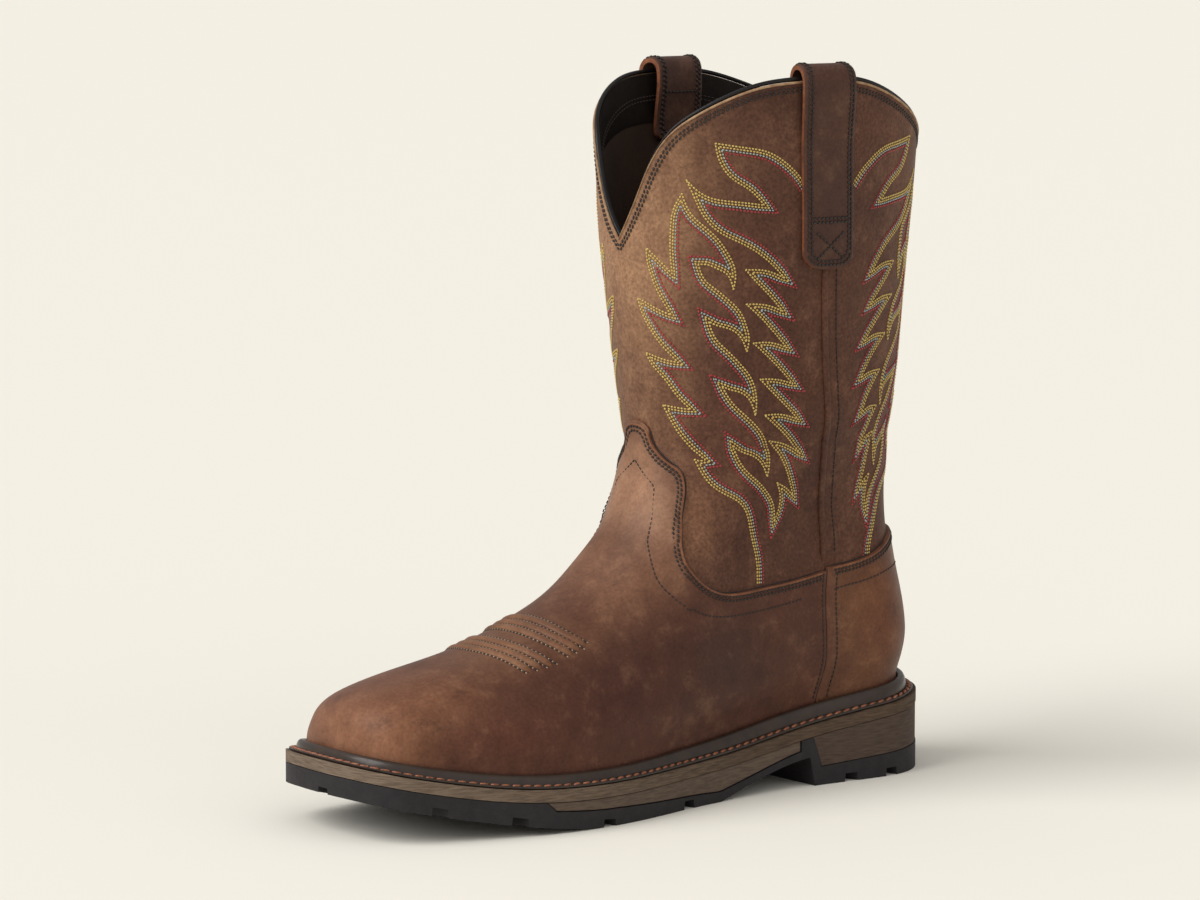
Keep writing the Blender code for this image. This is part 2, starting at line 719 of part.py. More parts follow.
def heel_block(finish):
    """The brown stack between the midsole and the rubber lift."""
    front = HEEL_LENGTH - 0.4 * BREAST_WALL
    s = between(-0.01, front)
    top = np.column_stack([s, midsole_low(s) - GAP])
    low_s = np.array([front - BREAST_SLOPE, -0.01])
    low = np.column_stack([low_s, lift_at(low_s) + GAP])
    return sole_layer("heel_block", PANEL_RECESS / 2, np.vstack([top, low]), finish)


def groove_cutter():
    """Slanting grooves across the tread, each side of the middle rib."""
    points, faces = [], []
    for place in GROOVE_PLACES:
        s = place * LENGTH
        floor = float(tread_at(s))
        slope = float(tread_at(s + 0.001) - tread_at(s - 0.001)) / 0.002
        for side in (1, -1):
            corners = []
            for across, lean in ((CENTRE_RIB / 2, 0.0), (BALL_WIDTH, GROOVE_SLANT)):
                middle = s - lean * (across - CENTRE_RIB / 2)
                for along, rise in ((-0.75, -0.01), (0.75, -0.01), (0.5, GROOVE_DEPTH), (-0.5, GROOVE_DEPTH)):
                    at = middle + along * GROOVE_WIDTH
                    corners.append((side * across, LENGTH / 2 - at, floor + rise + slope * (at - s)))
            base = len(points)
            points += corners
            quads = [(0, 1, 2, 3), (7, 6, 5, 4)] + [(k, k + 4, (k + 1) % 4 + 4, (k + 1) % 4) for k in range(4)]
            faces += [tuple(base + k for k in quad) for quad in quads]
    base = len(points)
    for reach in (LENGTH - TOE_NOTCH_REACH, LENGTH + 0.01):
        floor = float(tread_at(reach))
        for along, rise in ((-0.75, -0.01), (0.75, -0.01), (0.5, GROOVE_DEPTH), (-0.5, GROOVE_DEPTH)):
            points.append((along * GROOVE_WIDTH, LENGTH / 2 - reach, floor + rise))
    faces += [tuple(base + k for k in quad) for quad in quads]
    return helper("tread_grooves", points, faces)


def outsole(finish):
    """The black rubber unit: lugged forefoot, waist, breast of the heel and heel lift."""
    bevel = 0.0022
    ball = TREAD_START * LENGTH
    under = [(-0.01, 0.004), (0.0025, bevel), (0.0075, 0.0), (HEEL_LENGTH - 0.6 * BREAST_SLOPE, 0.0)]
    under += [(s, float(waist_at(s))) for s in between(HEEL_LENGTH, ball)[:-1]]
    under += [(s, float(tread_at(s))) for s in between(ball, LENGTH + 0.01)]
    toe_side = between(LENGTH + 0.01, PANEL_FRONT + PANEL_SLOPE + 2 * GAP)
    over = [(s, float(midsole_low(s)) - GAP) for s in toe_side]
    over.append((PANEL_FRONT + 1.5 * GAP, float(panel_low(PANEL_FRONT))))
    wall_front = HEEL_LENGTH + BREAST_WALL - GAP
    wall_back = HEEL_LENGTH - 0.4 * BREAST_WALL + GAP
    over += [(s, float(panel_low(s))) for s in between(PANEL_FRONT, wall_front)[1:]]
    over += [(s, float(midsole_low(s)) - GAP) for s in (wall_front, wall_back)]
    over += [(s, float(lift_at(s))) for s in (wall_back - BREAST_SLOPE, -0.01)]
    return sole_layer("outsole", 0.0, under + over, finish, groove_cutter())


def strap(name, side, finish):
    """A pull strap over the collar: a long outer leg, a loop and a short inner leg."""
    across = np.linspace(-0.5, 0.5, 5) * STRAP_WIDTH
    top = float(SHAFT_HEIGHT + GAP)
    grids = {True: [], False: []}
    for shift in across:
        corner = 1 - np.sqrt(max(0.0, 1 - (abs(shift) / (0.52 * STRAP_WIDTH)) ** 4))
        outer_foot = top - STRAP_OUTSIDE + 0.010 * corner
        inner_foot = top - STRAP_INSIDE + 0.006 * corner
        for far in (True, False):
            thick = STRAP_THICKNESS if far else 0.0
            path = []
            for z in np.linspace(outer_foot, top - 0.004, 12):
                bow = STRAP_BOW_OUT * float(smooth_step(z, top - 0.4 * STRAP_OUTSIDE, top))
                path.append(leg_point(side, strap_centre(z) + shift, z, GAP + bow + thick))
            start = path[-1]
            down = []
            for z in np.linspace(top - 0.004, inner_foot, 7):
                bow = STRAP_BOW_IN * float(smooth_step(z, top - 0.9 * STRAP_INSIDE, top))
                down.append(leg_point(side, strap_centre(z) + shift, z, -WALL - GAP - bow - thick))
            rise = 0.004 + STRAP_RISE - (0.0 if far else STRAP_THICKNESS)
            for turn in np.linspace(0, np.pi, 11)[1:-1]:
                share = (1 - np.cos(turn)) / 2
                base = start + (down[0] - start) * share
                path.append(base + np.array([0, 0, rise * np.sin(turn) ** 0.55]))
            grids[far].append(path + down)
    outer = np.array(grids[True]).transpose(1, 0, 2)
    inner = np.array(grids[False]).transpose(1, 0, 2)
    return node(name, *sheet_solid(outer, inner, False), finish)


def strap_centre(z):
    """Place along the foot of a strap's middle line, which leans forward as it rises."""
    return STRAP_CENTRE + STRAP_LEAN * (z - SHAFT_HEIGHT)


def leg_point(side, s, z, offset):
    """A point of a strap's leg, off the shaft's wall in the direction that the wall faces."""
    here = np.array([side * float(half_width(side, s, z)), LENGTH / 2 - s, z])
    step = 0.002
    slope_s = float(half_width(side, s + step, z) - half_width(side, s - step, z)) / (2 * step)
    slope_z = float(half_width(side, s, min(z + step, SHAFT_HEIGHT)) - half_width(side, s, z - step))
    slope_z /= min(z + step, SHAFT_HEIGHT) - z + step
    normal = np.array([side, slope_s, -slope_z])
    return here + offset * normal / np.linalg.norm(normal)


def side_piping(name, side, finish):
    """The raised cord that covers the shaft's side seam, from under the strap to the foot."""
    z_top = SHAFT_HEIGHT - STRAP_OUTSIDE - GAP
    z_low = height_of(COUNTER_EDGE[0][1]) + PIPING_WIDTH
    z = np.linspace(z_low, z_top, 14)
    edge_s = np.r_[seam_at(z) + PIPING_WIDTH, seam_at(z[::-1])]
    reach = (0.0, side * BALL_WIDTH)
    return overlay(name, edge_s, np.r_[z, z[::-1]], finish, reach, 0.93, PIPING_HEIGHT)


def collar_bead(finish):
    """The round edge binding on top of the collar's wall."""
    phi = all_angles()
    ones = np.ones_like(phi)
    middle = skin_off(phi, ones, np.full_like(phi, -WALL / 2))
    outside = skin_off(phi, ones, np.zeros_like(phi))
    across = outside - middle
    across /= np.linalg.norm(across, axis=1, keepdims=True)
    radius = COLLAR_BEAD / 2
    rings = []
    for turn in np.linspace(0, 2 * np.pi, 6, endpoint=False) + np.pi / 6:
        ring = middle + across * np.cos(turn) * radius
        ring[:, 2] += 2 * GAP + radius + np.sin(turn) * radius
        rings.append(ring)
    count = len(phi)
    points = np.concatenate(rings)
    faces = []
    for i in range(6):
        k = (i + 1) % 6
        for j in range(count):
            n = (j + 1) % count
            faces.append((i * count + j, i * count + n, k * count + n, k * count + j))
    return node("collar_binding", points, faces, finish)


def build():
    for old in list(bpy.data.objects):
        bpy.data.objects.remove(old)
    leather = material("brown_leather", (0.105, 0.047, 0.024), 0.62)
    strap_leather = material("strap_leather", (0.075, 0.034, 0.020), 0.60)
    binding = material("black_binding", (0.012, 0.010, 0.009), 0.30)
    lining = material("footbed", (0.035, 0.026, 0.020), 0.80)
    rand = material("dark_welt", (0.028, 0.019, 0.014), 0.38)
    brown = material("brown_midsole", (0.090, 0.062, 0.042), 0.70)
    rubber = material("black_rubber", (0.010, 0.010, 0.011), 0.60)
    upper(leather)
    vamp(leather)
    counter(leather)
    side_piping("side_piping_outer", 1, leather)
    side_piping("side_piping_inner", -1, leather)
    strap("pull_strap_outer", 1, strap_leather)
    strap("pull_strap_inner", -1, strap_leather)
    collar_bead(binding)
    insole(lining)
    welt(rand)
    midsole(brown)
    panel(brown)
    heel_block(brown)
    outsole(rubber)


build()
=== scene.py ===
import math

import bmesh
import bpy
import numpy as np
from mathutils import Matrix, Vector


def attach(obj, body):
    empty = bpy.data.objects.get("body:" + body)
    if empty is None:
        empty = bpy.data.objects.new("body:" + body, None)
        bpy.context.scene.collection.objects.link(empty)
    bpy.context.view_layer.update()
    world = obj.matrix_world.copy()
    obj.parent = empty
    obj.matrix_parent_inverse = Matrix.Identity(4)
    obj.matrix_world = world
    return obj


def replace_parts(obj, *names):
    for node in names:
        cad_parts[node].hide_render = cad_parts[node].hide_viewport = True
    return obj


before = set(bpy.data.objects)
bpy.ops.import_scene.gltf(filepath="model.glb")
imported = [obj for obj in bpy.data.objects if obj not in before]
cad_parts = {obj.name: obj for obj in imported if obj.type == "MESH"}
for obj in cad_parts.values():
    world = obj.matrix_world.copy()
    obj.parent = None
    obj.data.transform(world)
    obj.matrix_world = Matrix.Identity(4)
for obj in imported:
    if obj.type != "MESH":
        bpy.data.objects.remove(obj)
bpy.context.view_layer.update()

# Driving sizes, in metres, and tables of sections, as in the part's source but for the vamp's edge
LENGTH = 0.305
BALL_WIDTH = 0.110
WAIST_WIDTH = 0.072
HEEL_WIDTH = 0.079
TOE_WIDTH = 0.078
HEEL_HEIGHT = 0.035
FOREFOOT_HEIGHT = 0.0175
TOE_HEIGHT = 0.0315
TOE_SPRING = 0.018
THROAT_HEIGHT = 0.142
SHAFT_HEIGHT = 0.302
SHAFT_DEPTH = 0.155
SHAFT_WIDTH = 0.108
COLLAR_FRONT_DIP = 0.066
COLLAR_BACK_DIP = 0.036
GAP = 0.0003
WALL = 0.0022
OVERLAY = 0.0016
WELT_WIDTH = 0.0085
WELT_LEDGE = 0.0014
WELT_BEAD = 0.0054
HEEL_BEAD = 0.0072
STITCH_LEDGE = 0.0030
WELT_SETBACK = 0.0014
INSOLE_THICKNESS = 0.0035
MIDSOLE_THICKNESS = 0.0050
PANEL_RECESS = 0.0006
LIFT_FRONT = 0.0075
LIFT_BACK = 0.0125
SKIN_INSET = WELT_WIDTH + GAP + OVERLAY
HEEL_ROUND = 0.0285
TOE_ROUND = 0.0165
TOE_POWER = 2.6
SHAFT_POWER = 2.1
HEEL_LENGTH = 0.079
BREAST_HEIGHT = 0.0125
BREAST_WALL = 0.0050
BREAST_SLOPE = 0.0045
GROOVE_WIDTH = 0.0062
GROOVE_DEPTH = 0.0036
GROOVE_SLANT = 0.30
GROOVE_PLACES = (0.149, 0.221, 0.536, 0.706, 0.843, 0.942)
CENTRE_RIB = 0.0070
TOE_NOTCH_REACH = 0.0110
TREAD_START = 0.430
SPRING_START = 0.655
PANEL_END = 0.742
PANEL_SLOPE = 0.0045
SIDE_RUBBER = 0.0072
RUBBER_ROWS = (
    (0.270, 0.49), (0.310, 0.42), (0.370, 0.42), (0.440, 0.60), (0.560, 0.81),
    (0.670, 1.00), (0.742, 0.95),
)
STRAP_WIDTH = 0.0260
STRAP_THICKNESS = 0.0024
STRAP_CENTRE = 0.0862
STRAP_LEAN = 0.065
STRAP_BOW_OUT = 0.0022
STRAP_BOW_IN = 0.0045
STRAP_RISE = 0.0070
STRAP_OUTSIDE = 0.0790
STRAP_INSIDE = 0.0300
PIPING_WIDTH = 0.0030
PIPING_HEIGHT = 0.0013
COLLAR_BEAD = 0.0019

SOLE_SECTIONS = (
    (0.00, HEEL_WIDTH, 0.500, 0.500),
    (0.14, HEEL_WIDTH, 0.500, 0.500),
    (0.28, WAIST_WIDTH, 0.520, 0.500),
    (0.40, WAIST_WIDTH, 0.555, 0.455),
    (0.50, BALL_WIDTH, 0.410, 0.335),
    (0.60, BALL_WIDTH, 0.475, 0.425),
    (0.68, BALL_WIDTH, 0.500, 0.485),
    (0.76, BALL_WIDTH, 0.485, 0.500),
    (0.87, TOE_WIDTH, 0.565, 0.655),
    (1.00, TOE_WIDTH, 0.450, 0.600),
)
SWELL_SECTIONS = (
    (0.00, 0.35, 0.35), (0.14, 0.45, 0.45), (0.28, 0.70, 0.85), (0.42, 0.80, 1.20),
    (0.55, 0.50, 0.75), (0.68, 0.35, 0.40), (0.85, 0.25, 0.25), (1.00, 0.10, 0.10),
)
SEAT_SECTIONS = (
    (0.00, 1.00, 0.00), (0.13, 0.77, 0.00), (0.26, 0.49, 0.00), (0.39, 0.15, 0.00),
    (0.52, 0.02, 0.00), (0.67, 0.00, 0.00), (0.82, 0.00, 0.21), (1.00, 0.00, 1.00),
)
FOOT_FRONT = (
    (0.180, 0.9658), (0.225, 0.9658), (0.265, 0.9656), (0.310, 0.9632), (0.346, 0.9550),
    (0.393, 0.9160), (0.424, 0.8580), (0.453, 0.7920), (0.495, 0.7230), (0.552, 0.6560),
    (0.634, 0.5900), (0.734, 0.5340), (0.852, 0.4900),
)
FOOT_BACK = (
    (0.180, 0.0341), (0.245, 0.0341), (0.295, 0.0342), (0.335, 0.0300), (0.380, 0.0262),
    (0.465, 0.0260), (0.599, 0.0367), (0.739, 0.0470), (0.880, 0.0492),
)
SHAFT_SECTIONS = (
    (1.000, 0.0459, 0.834, 0.785),
    (1.144, 0.0403, 0.853, 0.815),
    (1.300, 0.0328, 0.890, 0.852),
    (1.488, 0.0230, 0.935, 0.898),
    (1.706, 0.0125, 0.975, 0.948),
    (2.000, 0.0033, 1.000, 1.000),
)
ANKLE_WIDTHS = ((0.20, 0.66), (0.56, 0.694), (0.78, 0.741))
ARCH_POWERS = ((0.0, 2.6), (0.33, 2.4), (0.52, 2.2), (0.72, 2.2), (0.85, 2.4), (1.0, 2.8))
RING_LEVELS = (
    (0.00, 0.223, 0.249), (0.032, 0.262, 0.299), (0.08, 0.315, 0.352), (0.12, 0.352, 0.415),
    (0.18, 0.394, 0.507), (0.24, 0.432, 0.595), (0.30, 0.475, 0.680), (0.36, 0.535, 0.763),
    (0.42, 0.613, 0.848), (0.48, 0.711, 0.937), (0.55, 0.845, 1.050), (0.62, 1.020, 1.160),
    (0.68, 1.175, 1.250), (0.75, 1.360, 1.360),
)
LAST_LEVEL_RING = RING_LEVELS[-1][0]
COLLAR_DIPS = (
    (0.00, 1.000), (0.20, 0.735), (0.30, 0.560), (0.42, 0.390), (0.62, 0.230),
    (0.82, 0.125), (1.06, 0.035), (1.35, 0.000),
)
COLLAR_BACK_DIPS = (
    (1.35, 0.00), (1.72, 0.03), (1.94, 0.15), (2.18, 0.33), (2.39, 0.50),
    (2.75, 0.80), (3.142, 1.00),
)
VAMP_EDGE = (
    (0.000, 1.108), (0.0022, 1.090), (0.0031, 1.061), (0.0053, 1.038), (0.0082, 1.018),
    (0.0149, 0.998), (0.0251, 0.976), (0.0285, 0.955), (0.0321, 0.904), (0.0348, 0.844),
    (0.0456, 0.792), (0.0620, 0.743), (0.0950, 0.690), (0.1387, 0.647), (0.1890, 0.616),
    (0.2357, 0.609), (0.2700, 0.615), (0.3140, 0.623), (0.3780, 0.648),
)
COUNTER_EDGE = ((0.00, 0.652), (0.30, 0.662), (0.60, 0.690), (0.80, 0.722), (1.00, 0.745))
SEAM_PLACES = (
    (0.180, 0.232), (0.43, 0.220), (0.58, 0.219), (0.68, 0.214), (0.85, 0.222),
    (1.16, 0.246), (1.43, 0.262), (1.60, 0.267),
)

# Soft folds and hollows in mm: s, z, reach along s, reach along z, lean in degrees, height
FOLDS = (
    (140, 112, 7, 16, 20, -0.9),
    (124, 104, 16, 7, -12, -0.7),
    (112, 124, 9, 22, 8, 0.5),
    (60, 118, 22, 8, 5, -0.7),
    (36, 132, 16, 6, -8, 0.5),
    (100, 150, 12, 30, 0, -0.5),
    (50, 190, 10, 34, 0, -0.5),
    (176, 78, 9, 15, 35, -0.6),
    (158, 92, 6, 16, 30, 0.5),
    (206, 52, 26, 8, -4, -0.5),
    (250, 46, 12, 12, 0, 0.4),
    (284, 40, 6, 5, 0, -0.5),
    (235, 62, 14, 6, -15, 0.3),
    (120, 50, 26, 10, 0, -0.5),
    (92, 66, 12, 16, 0, 0.4),
)


def spline(places, values):
    """A natural cubic curve through the rows of a table."""
    x = np.asarray(places, float)
    y = np.asarray(values, float)
    h = np.diff(x)
    a = np.eye(len(x))
    r = np.zeros(len(x))
    for i in range(1, len(x) - 1):
        a[i, i - 1], a[i, i], a[i, i + 1] = h[i - 1], 2 * (h[i - 1] + h[i]), h[i]
        r[i] = 6 * ((y[i + 1] - y[i]) / h[i] - (y[i] - y[i - 1]) / h[i - 1])
    m = np.linalg.solve(a, r)

    def value(at):
        at = np.clip(np.asarray(at, float), x[0], x[-1])
        i = np.clip(np.searchsorted(x, at) - 1, 0, len(x) - 2)
        left, right, k = x[i + 1] - at, at - x[i], h[i]
        bend = (m[i] * left**3 + m[i + 1] * right**3) / (6 * k)
        return bend + (y[i] / k - m[i] * k / 6) * left + (y[i + 1] / k - m[i + 1] * k / 6) * right

    return value


def column(table, index, size=1.0):
    return [row[index] * size for row in table]


def smooth_step(x, low, high):
    t = np.clip((np.asarray(x, float) - low) / (high - low), 0, 1)
    return t * t * (3 - 2 * t)


def walked(points):
    """Distance covered at each point of a line."""
    return np.r_[0, np.cumsum(np.linalg.norm(np.diff(points, axis=0), axis=1))]


def read_off(at, walk, rows):
    """Rows between the given ones, at distances along the line."""
    return np.column_stack([np.interp(at, walk, rows[:, k]) for k in range(rows.shape[1])])


def end_cap(distance, radius, power):
    q = np.clip(1 - np.asarray(distance, float) / radius, 0, 1)
    return (1 - q**power) ** (1 / power)


def height_of(level):
    level = np.asarray(level, float)
    above = np.maximum(level - 1, 0) * (SHAFT_HEIGHT - THROAT_HEIGHT)
    return np.minimum(level, 1) * THROAT_HEIGHT + above


_along = column(SOLE_SECTIONS, 0, LENGTH)
sole_outer = spline(_along, [row[1] * row[2] for row in SOLE_SECTIONS])
sole_inner = spline(_along, [row[1] * row[3] for row in SOLE_SECTIONS])
swell_outer = spline(column(SWELL_SECTIONS, 0, LENGTH), column(SWELL_SECTIONS, 1, WELT_WIDTH))
swell_inner = spline(column(SWELL_SECTIONS, 0, LENGTH), column(SWELL_SECTIONS, 2, WELT_WIDTH))
arch_power = spline(column(ARCH_POWERS, 0, LENGTH), column(ARCH_POWERS, 1))
_heel_rise = spline(column(SEAT_SECTIONS, 0, LENGTH), column(SEAT_SECTIONS, 1, HEEL_HEIGHT - FOREFOOT_HEIGHT))
_toe_rise = spline(column(SEAT_SECTIONS, 0, LENGTH), column(SEAT_SECTIONS, 2, TOE_HEIGHT - FOREFOOT_HEIGHT))
_front_rows = [(height_of(level), place * LENGTH) for level, place in FOOT_FRONT]
_front_rows += [(height_of(r[0]), r[1] * LENGTH + r[2] * SHAFT_DEPTH) for r in SHAFT_SECTIONS]
_back_rows = [(height_of(level), place * LENGTH) for level, place in FOOT_BACK]
_back_rows += [(height_of(r[0]), r[1] * LENGTH) for r in SHAFT_SECTIONS]
_width_rows = [(height_of(level), share * SHAFT_WIDTH / 2) for level, share in ANKLE_WIDTHS]
_width_rows += [(height_of(r[0]), r[3] * SHAFT_WIDTH / 2) for r in SHAFT_SECTIONS]
front_at = spline(column(_front_rows, 0), column(_front_rows, 1))
back_at = spline(column(_back_rows, 0), column(_back_rows, 1))
shaft_half = spline(column(_width_rows, 0), column(_width_rows, 1))
_profile_z = np.linspace(_front_rows[0][0], SHAFT_HEIGHT, 800)
_profile_s = front_at(_profile_z)
_furthest = int(np.argmax(_profile_s))
_profile_z, _profile_s = _profile_z[_furthest:], np.minimum.accumulate(_profile_s[_furthest:])
_falling = np.r_[True, np.diff(_profile_s) < 0]
ring_front = spline(column(RING_LEVELS, 0), [height_of(row[1]) for row in RING_LEVELS])
ring_back = spline(column(RING_LEVELS, 0), [height_of(row[2]) for row in RING_LEVELS])
_dip_front = spline(column(COLLAR_DIPS, 0), column(COLLAR_DIPS, 1, COLLAR_FRONT_DIP))
_dip_back = spline(column(COLLAR_BACK_DIPS, 0), column(COLLAR_BACK_DIPS, 1, COLLAR_BACK_DIP))
seam_at = spline([height_of(row[0]) for row in SEAM_PLACES], column(SEAM_PLACES, 1, LENGTH))
rubber_at = spline(column(RUBBER_ROWS, 0, LENGTH), column(RUBBER_ROWS, 1, SIDE_RUBBER))


def seat_at(s):
    return FOREFOOT_HEIGHT + _heel_rise(s) + _toe_rise(s)


def ridge_at(s):
    return np.interp(-np.asarray(s, float), -_profile_s[_falling], _profile_z[_falling])


def bead_at(s):
    return HEEL_BEAD + (WELT_BEAD - HEEL_BEAD) * smooth_step(s, 0.30 * LENGTH, 0.62 * LENGTH)


def collar_at(theta):
    join = COLLAR_DIPS[-1][0]
    return SHAFT_HEIGHT - np.where(theta < join, _dip_front(theta), _dip_back(theta))


def half_width(side, s, z):
    """Half width of the upper's skin at a place in the side view; side is 1 outer, -1 inner."""
    s, z = np.asarray(s, float), np.asarray(z, float)
    heel_end, toe_end = back_at(z), front_at(z)
    sole, swell = (sole_outer, swell_outer) if side > 0 else (sole_inner, swell_inner)
    seat = seat_at(s)
    rise = z - seat
    bead = bead_at(s)
    foot = sole(s) - SKIN_INSET + swell(s) * smooth_step(rise, bead, bead + 4 * WELT_BEAD)
    share = np.clip(rise / np.maximum(ridge_at(s) - seat, 1e-4), 0, 1)
    power = arch_power(s)
    low = 1 - smooth_step(z, 0.32 * THROAT_HEIGHT, 0.43 * THROAT_HEIGHT)
    foot = foot * (1 - share**power) ** (1 / power)
    foot = foot * end_cap(s - heel_end, HEEL_ROUND, 2.0) * end_cap(toe_end - s, TOE_ROUND, TOE_POWER) ** low
    centre, reach = (toe_end + heel_end) / 2, (toe_end - heel_end) / 2
    off = np.clip(np.abs(s - centre) / reach, 0, 1)
    shaft = shaft_half(z) * (1 - off**SHAFT_POWER) ** (1 / SHAFT_POWER)
    blend = smooth_step(z, 0.53 * THROAT_HEIGHT, 1.16 * THROAT_HEIGHT)
    return foot * (1 - blend) + shaft * blend


def place_on(theta, v):
    """Side-view place of the skin at an angle from the front and a share of the way up."""
    t = (1 + np.cos(theta)) / 2
    low = np.minimum(v, LAST_LEVEL_RING)
    z_front, z_back = ring_front(low), ring_back(low)
    s_front, s_back = front_at(z_front), back_at(z_back)
    s = s_back + t * (s_front - s_back)
    z = z_back + t * (z_front - z_back)
    sag = 1 - smooth_step(v, 0.06, 0.36)
    z = z + sag * (seat_at(s) - seat_at(s_back) - t * (seat_at(s_front) - seat_at(s_back)))
    up = np.clip((v - LAST_LEVEL_RING) / (1 - LAST_LEVEL_RING), 0, 1)
    z = np.where(up > 0, z_back + up * (collar_at(theta) - z_back), z)
    s = np.where(up > 0, back_at(z) + t * (front_at(z) - back_at(z)), s)
    return s, z


def skin(phi, v):
    phi, v = np.broadcast_arrays(np.asarray(phi, float), np.asarray(v, float))
    phi = (phi + np.pi) % (2 * np.pi) - np.pi
    s, z = place_on(np.abs(phi), np.clip(v, 0, 1))
    x = np.where(phi >= 0, half_width(1, s, z), -half_width(-1, s, z))
    return np.stack([x, LENGTH / 2 - s, z], -1)


def relief(points):
    """Small folds and hollows of the leather, by place on the boot."""
    s, z, side = (LENGTH / 2 - points[..., 1]) * 1e3, points[..., 2] * 1e3, np.sign(points[..., 0])
    found = np.zeros(s.shape)
    for at_s, at_z, along, up, lean, height in FOLDS:
        turn = math.radians(lean)
        shift = np.where(side < 0, 6.0, 0.0)
        a = (s - at_s - shift) * math.cos(turn) + (z - at_z) * math.sin(turn)
        b = (z - at_z) * math.cos(turn) - (s - at_s - shift) * math.sin(turn)
        found += height * np.exp(-((a / along) ** 2) - (b / up) ** 2)
    wave = np.sin(s * 0.071 + z * 0.043 + side) * np.sin(z * 0.058 - s * 0.025 + 2 * side)
    found += 0.28 * wave
    near_edge = smooth_step(z - seat_at(s / 1e3) * 1e3, 6, 16) * (1 - smooth_step(z, 225, 262))
    middle = smooth_step(np.abs(points[..., 0]) * 1e3, 2, 12)
    return found * near_edge * middle * 1e-3


def facing(phi, v):
    turn, lift = 0.03, 0.006
    across = skin(phi + turn, v) - skin(phi - turn, v)
    up = skin(phi, np.clip(v + lift, 0, 1)) - skin(phi, np.clip(v - lift, 0, 1))
    normal = np.cross(across, up)
    return normal / np.linalg.norm(normal, axis=-1, keepdims=True)


def skin_off(phi, v, offset):
    """Point at a distance outward from the skin, folds included."""
    base = skin(phi, v)
    return base + facing(phi, v) * (np.asarray(offset, float) + relief(base))[..., None]


def angle_of(s, v):
    low = np.minimum(v, LAST_LEVEL_RING)
    theta = np.full(np.shape(s), np.pi / 2)
    for _ in range(8):
        _, z = place_on(theta, v)
        s_front = np.where(v > LAST_LEVEL_RING, front_at(z), front_at(ring_front(low)))
        s_back = np.where(v > LAST_LEVEL_RING, back_at(z), back_at(ring_back(low)))
        t = np.clip((s - s_back) / (s_front - s_back), 0, 1)
        theta = np.arccos(2 * t - 1)
    return theta


def find(side, s, z):
    """Angle and share of the way up for a place in the side view."""
    s, z = np.broadcast_arrays(np.asarray(s, float), np.asarray(z, float))
    low, high = np.zeros(s.shape), np.ones(s.shape)
    for _ in range(18):
        v = (low + high) / 2
        _, reached = place_on(angle_of(s, v), v)
        low, high = np.where(reached < z, v, low), np.where(reached < z, high, v)
    return side * angle_of(s, v), v


def on_side(side, s, z, offset, bend=True):
    """Points and outward directions at a distance off the leather, away from its front and back lines."""
    s, z = np.broadcast_arrays(np.asarray(s, float), np.asarray(z, float))
    step = 0.001
    base = np.stack([side * half_width(side, s, z), LENGTH / 2 - s, z], -1)
    slope_s = (half_width(side, s + step, z) - half_width(side, s - step, z)) / (2 * step)
    top = np.minimum(z + step, SHAFT_HEIGHT)
    slope_z = (half_width(side, s, top) - half_width(side, s, z - step)) / (top - z + step)
    normal = np.stack([np.full(s.shape, float(side)), slope_s, -slope_z], -1)
    normal /= np.linalg.norm(normal, axis=-1, keepdims=True)
    raised = offset + (relief(base) if bend else 0.0)
    return base + normal * np.broadcast_to(raised, s.shape)[..., None], normal


def on_skin(side, s, z, offset):
    """The same by way of the rings, which also serves near the front and back lines."""
    phi, v = find(side, s, z)
    return skin_off(phi, v, np.full(np.shape(phi), offset)), facing(phi, v)


# Building meshes
def linear(colour):
    return tuple(((c / 255 + 0.055) / 1.055) ** 2.4 if c > 10 else c / 255 / 12.92 for c in colour)


def bare(name, points, faces, finishes):
    """An object in the scene that doesn't ride on the part yet."""
    mesh = bpy.data.meshes.new(name)
    mesh.from_pydata(np.asarray(points, float).tolist(), [], [list(map(int, f)) for f in faces])
    for finish in finishes:
        mesh.materials.append(finish)
    made = bpy.data.objects.new(name, mesh)
    bpy.context.scene.collection.objects.link(made)
    return made


def make(name, points, faces, finishes, which=None, sharp=0.9, tones=None):
    """A smooth piece on the part, with a finish for each face and a tone for each point if given."""
    made = bare(name, points, faces, finishes)
    mesh = made.data
    if tones is not None:
        layer = mesh.attributes.new("tone", "FLOAT_COLOR", "POINT")
        layer.data.foreach_set("color", np.column_stack([tones, np.ones(len(tones))]).ravel())
    if which is not None:
        mesh.polygons.foreach_set("material_index", np.asarray(which, np.int32))
    mesh.shade_smooth()
    mesh.set_sharp_from_angle(angle=sharp)
    mesh.update()
    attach(made, "root")
    return made


def face_out(made, join=True):
    """The same object with doubled points joined, unless told not to, and its faces turned outward."""
    work = bmesh.new()
    work.from_mesh(made.data)
    if join:
        bmesh.ops.remove_doubles(work, verts=work.verts, dist=1e-7)
    bmesh.ops.recalc_face_normals(work, faces=work.faces)
    work.to_mesh(made.data)
    work.free()
    return made


def rings_to_faces(rings, columns, wrap_columns, wrap_rows):
    """Quads over a grid that may close along either way."""
    r = np.arange(rings if wrap_rows else rings - 1)
    c = np.arange(columns if wrap_columns else columns - 1)
    i, j = np.meshgrid(r, c, indexing="ij")
    k, n = (i + 1) % rings, (j + 1) % columns
    return np.stack([i * columns + j, i * columns + n, k * columns + n, k * columns + j], -1).reshape(-1, 4)


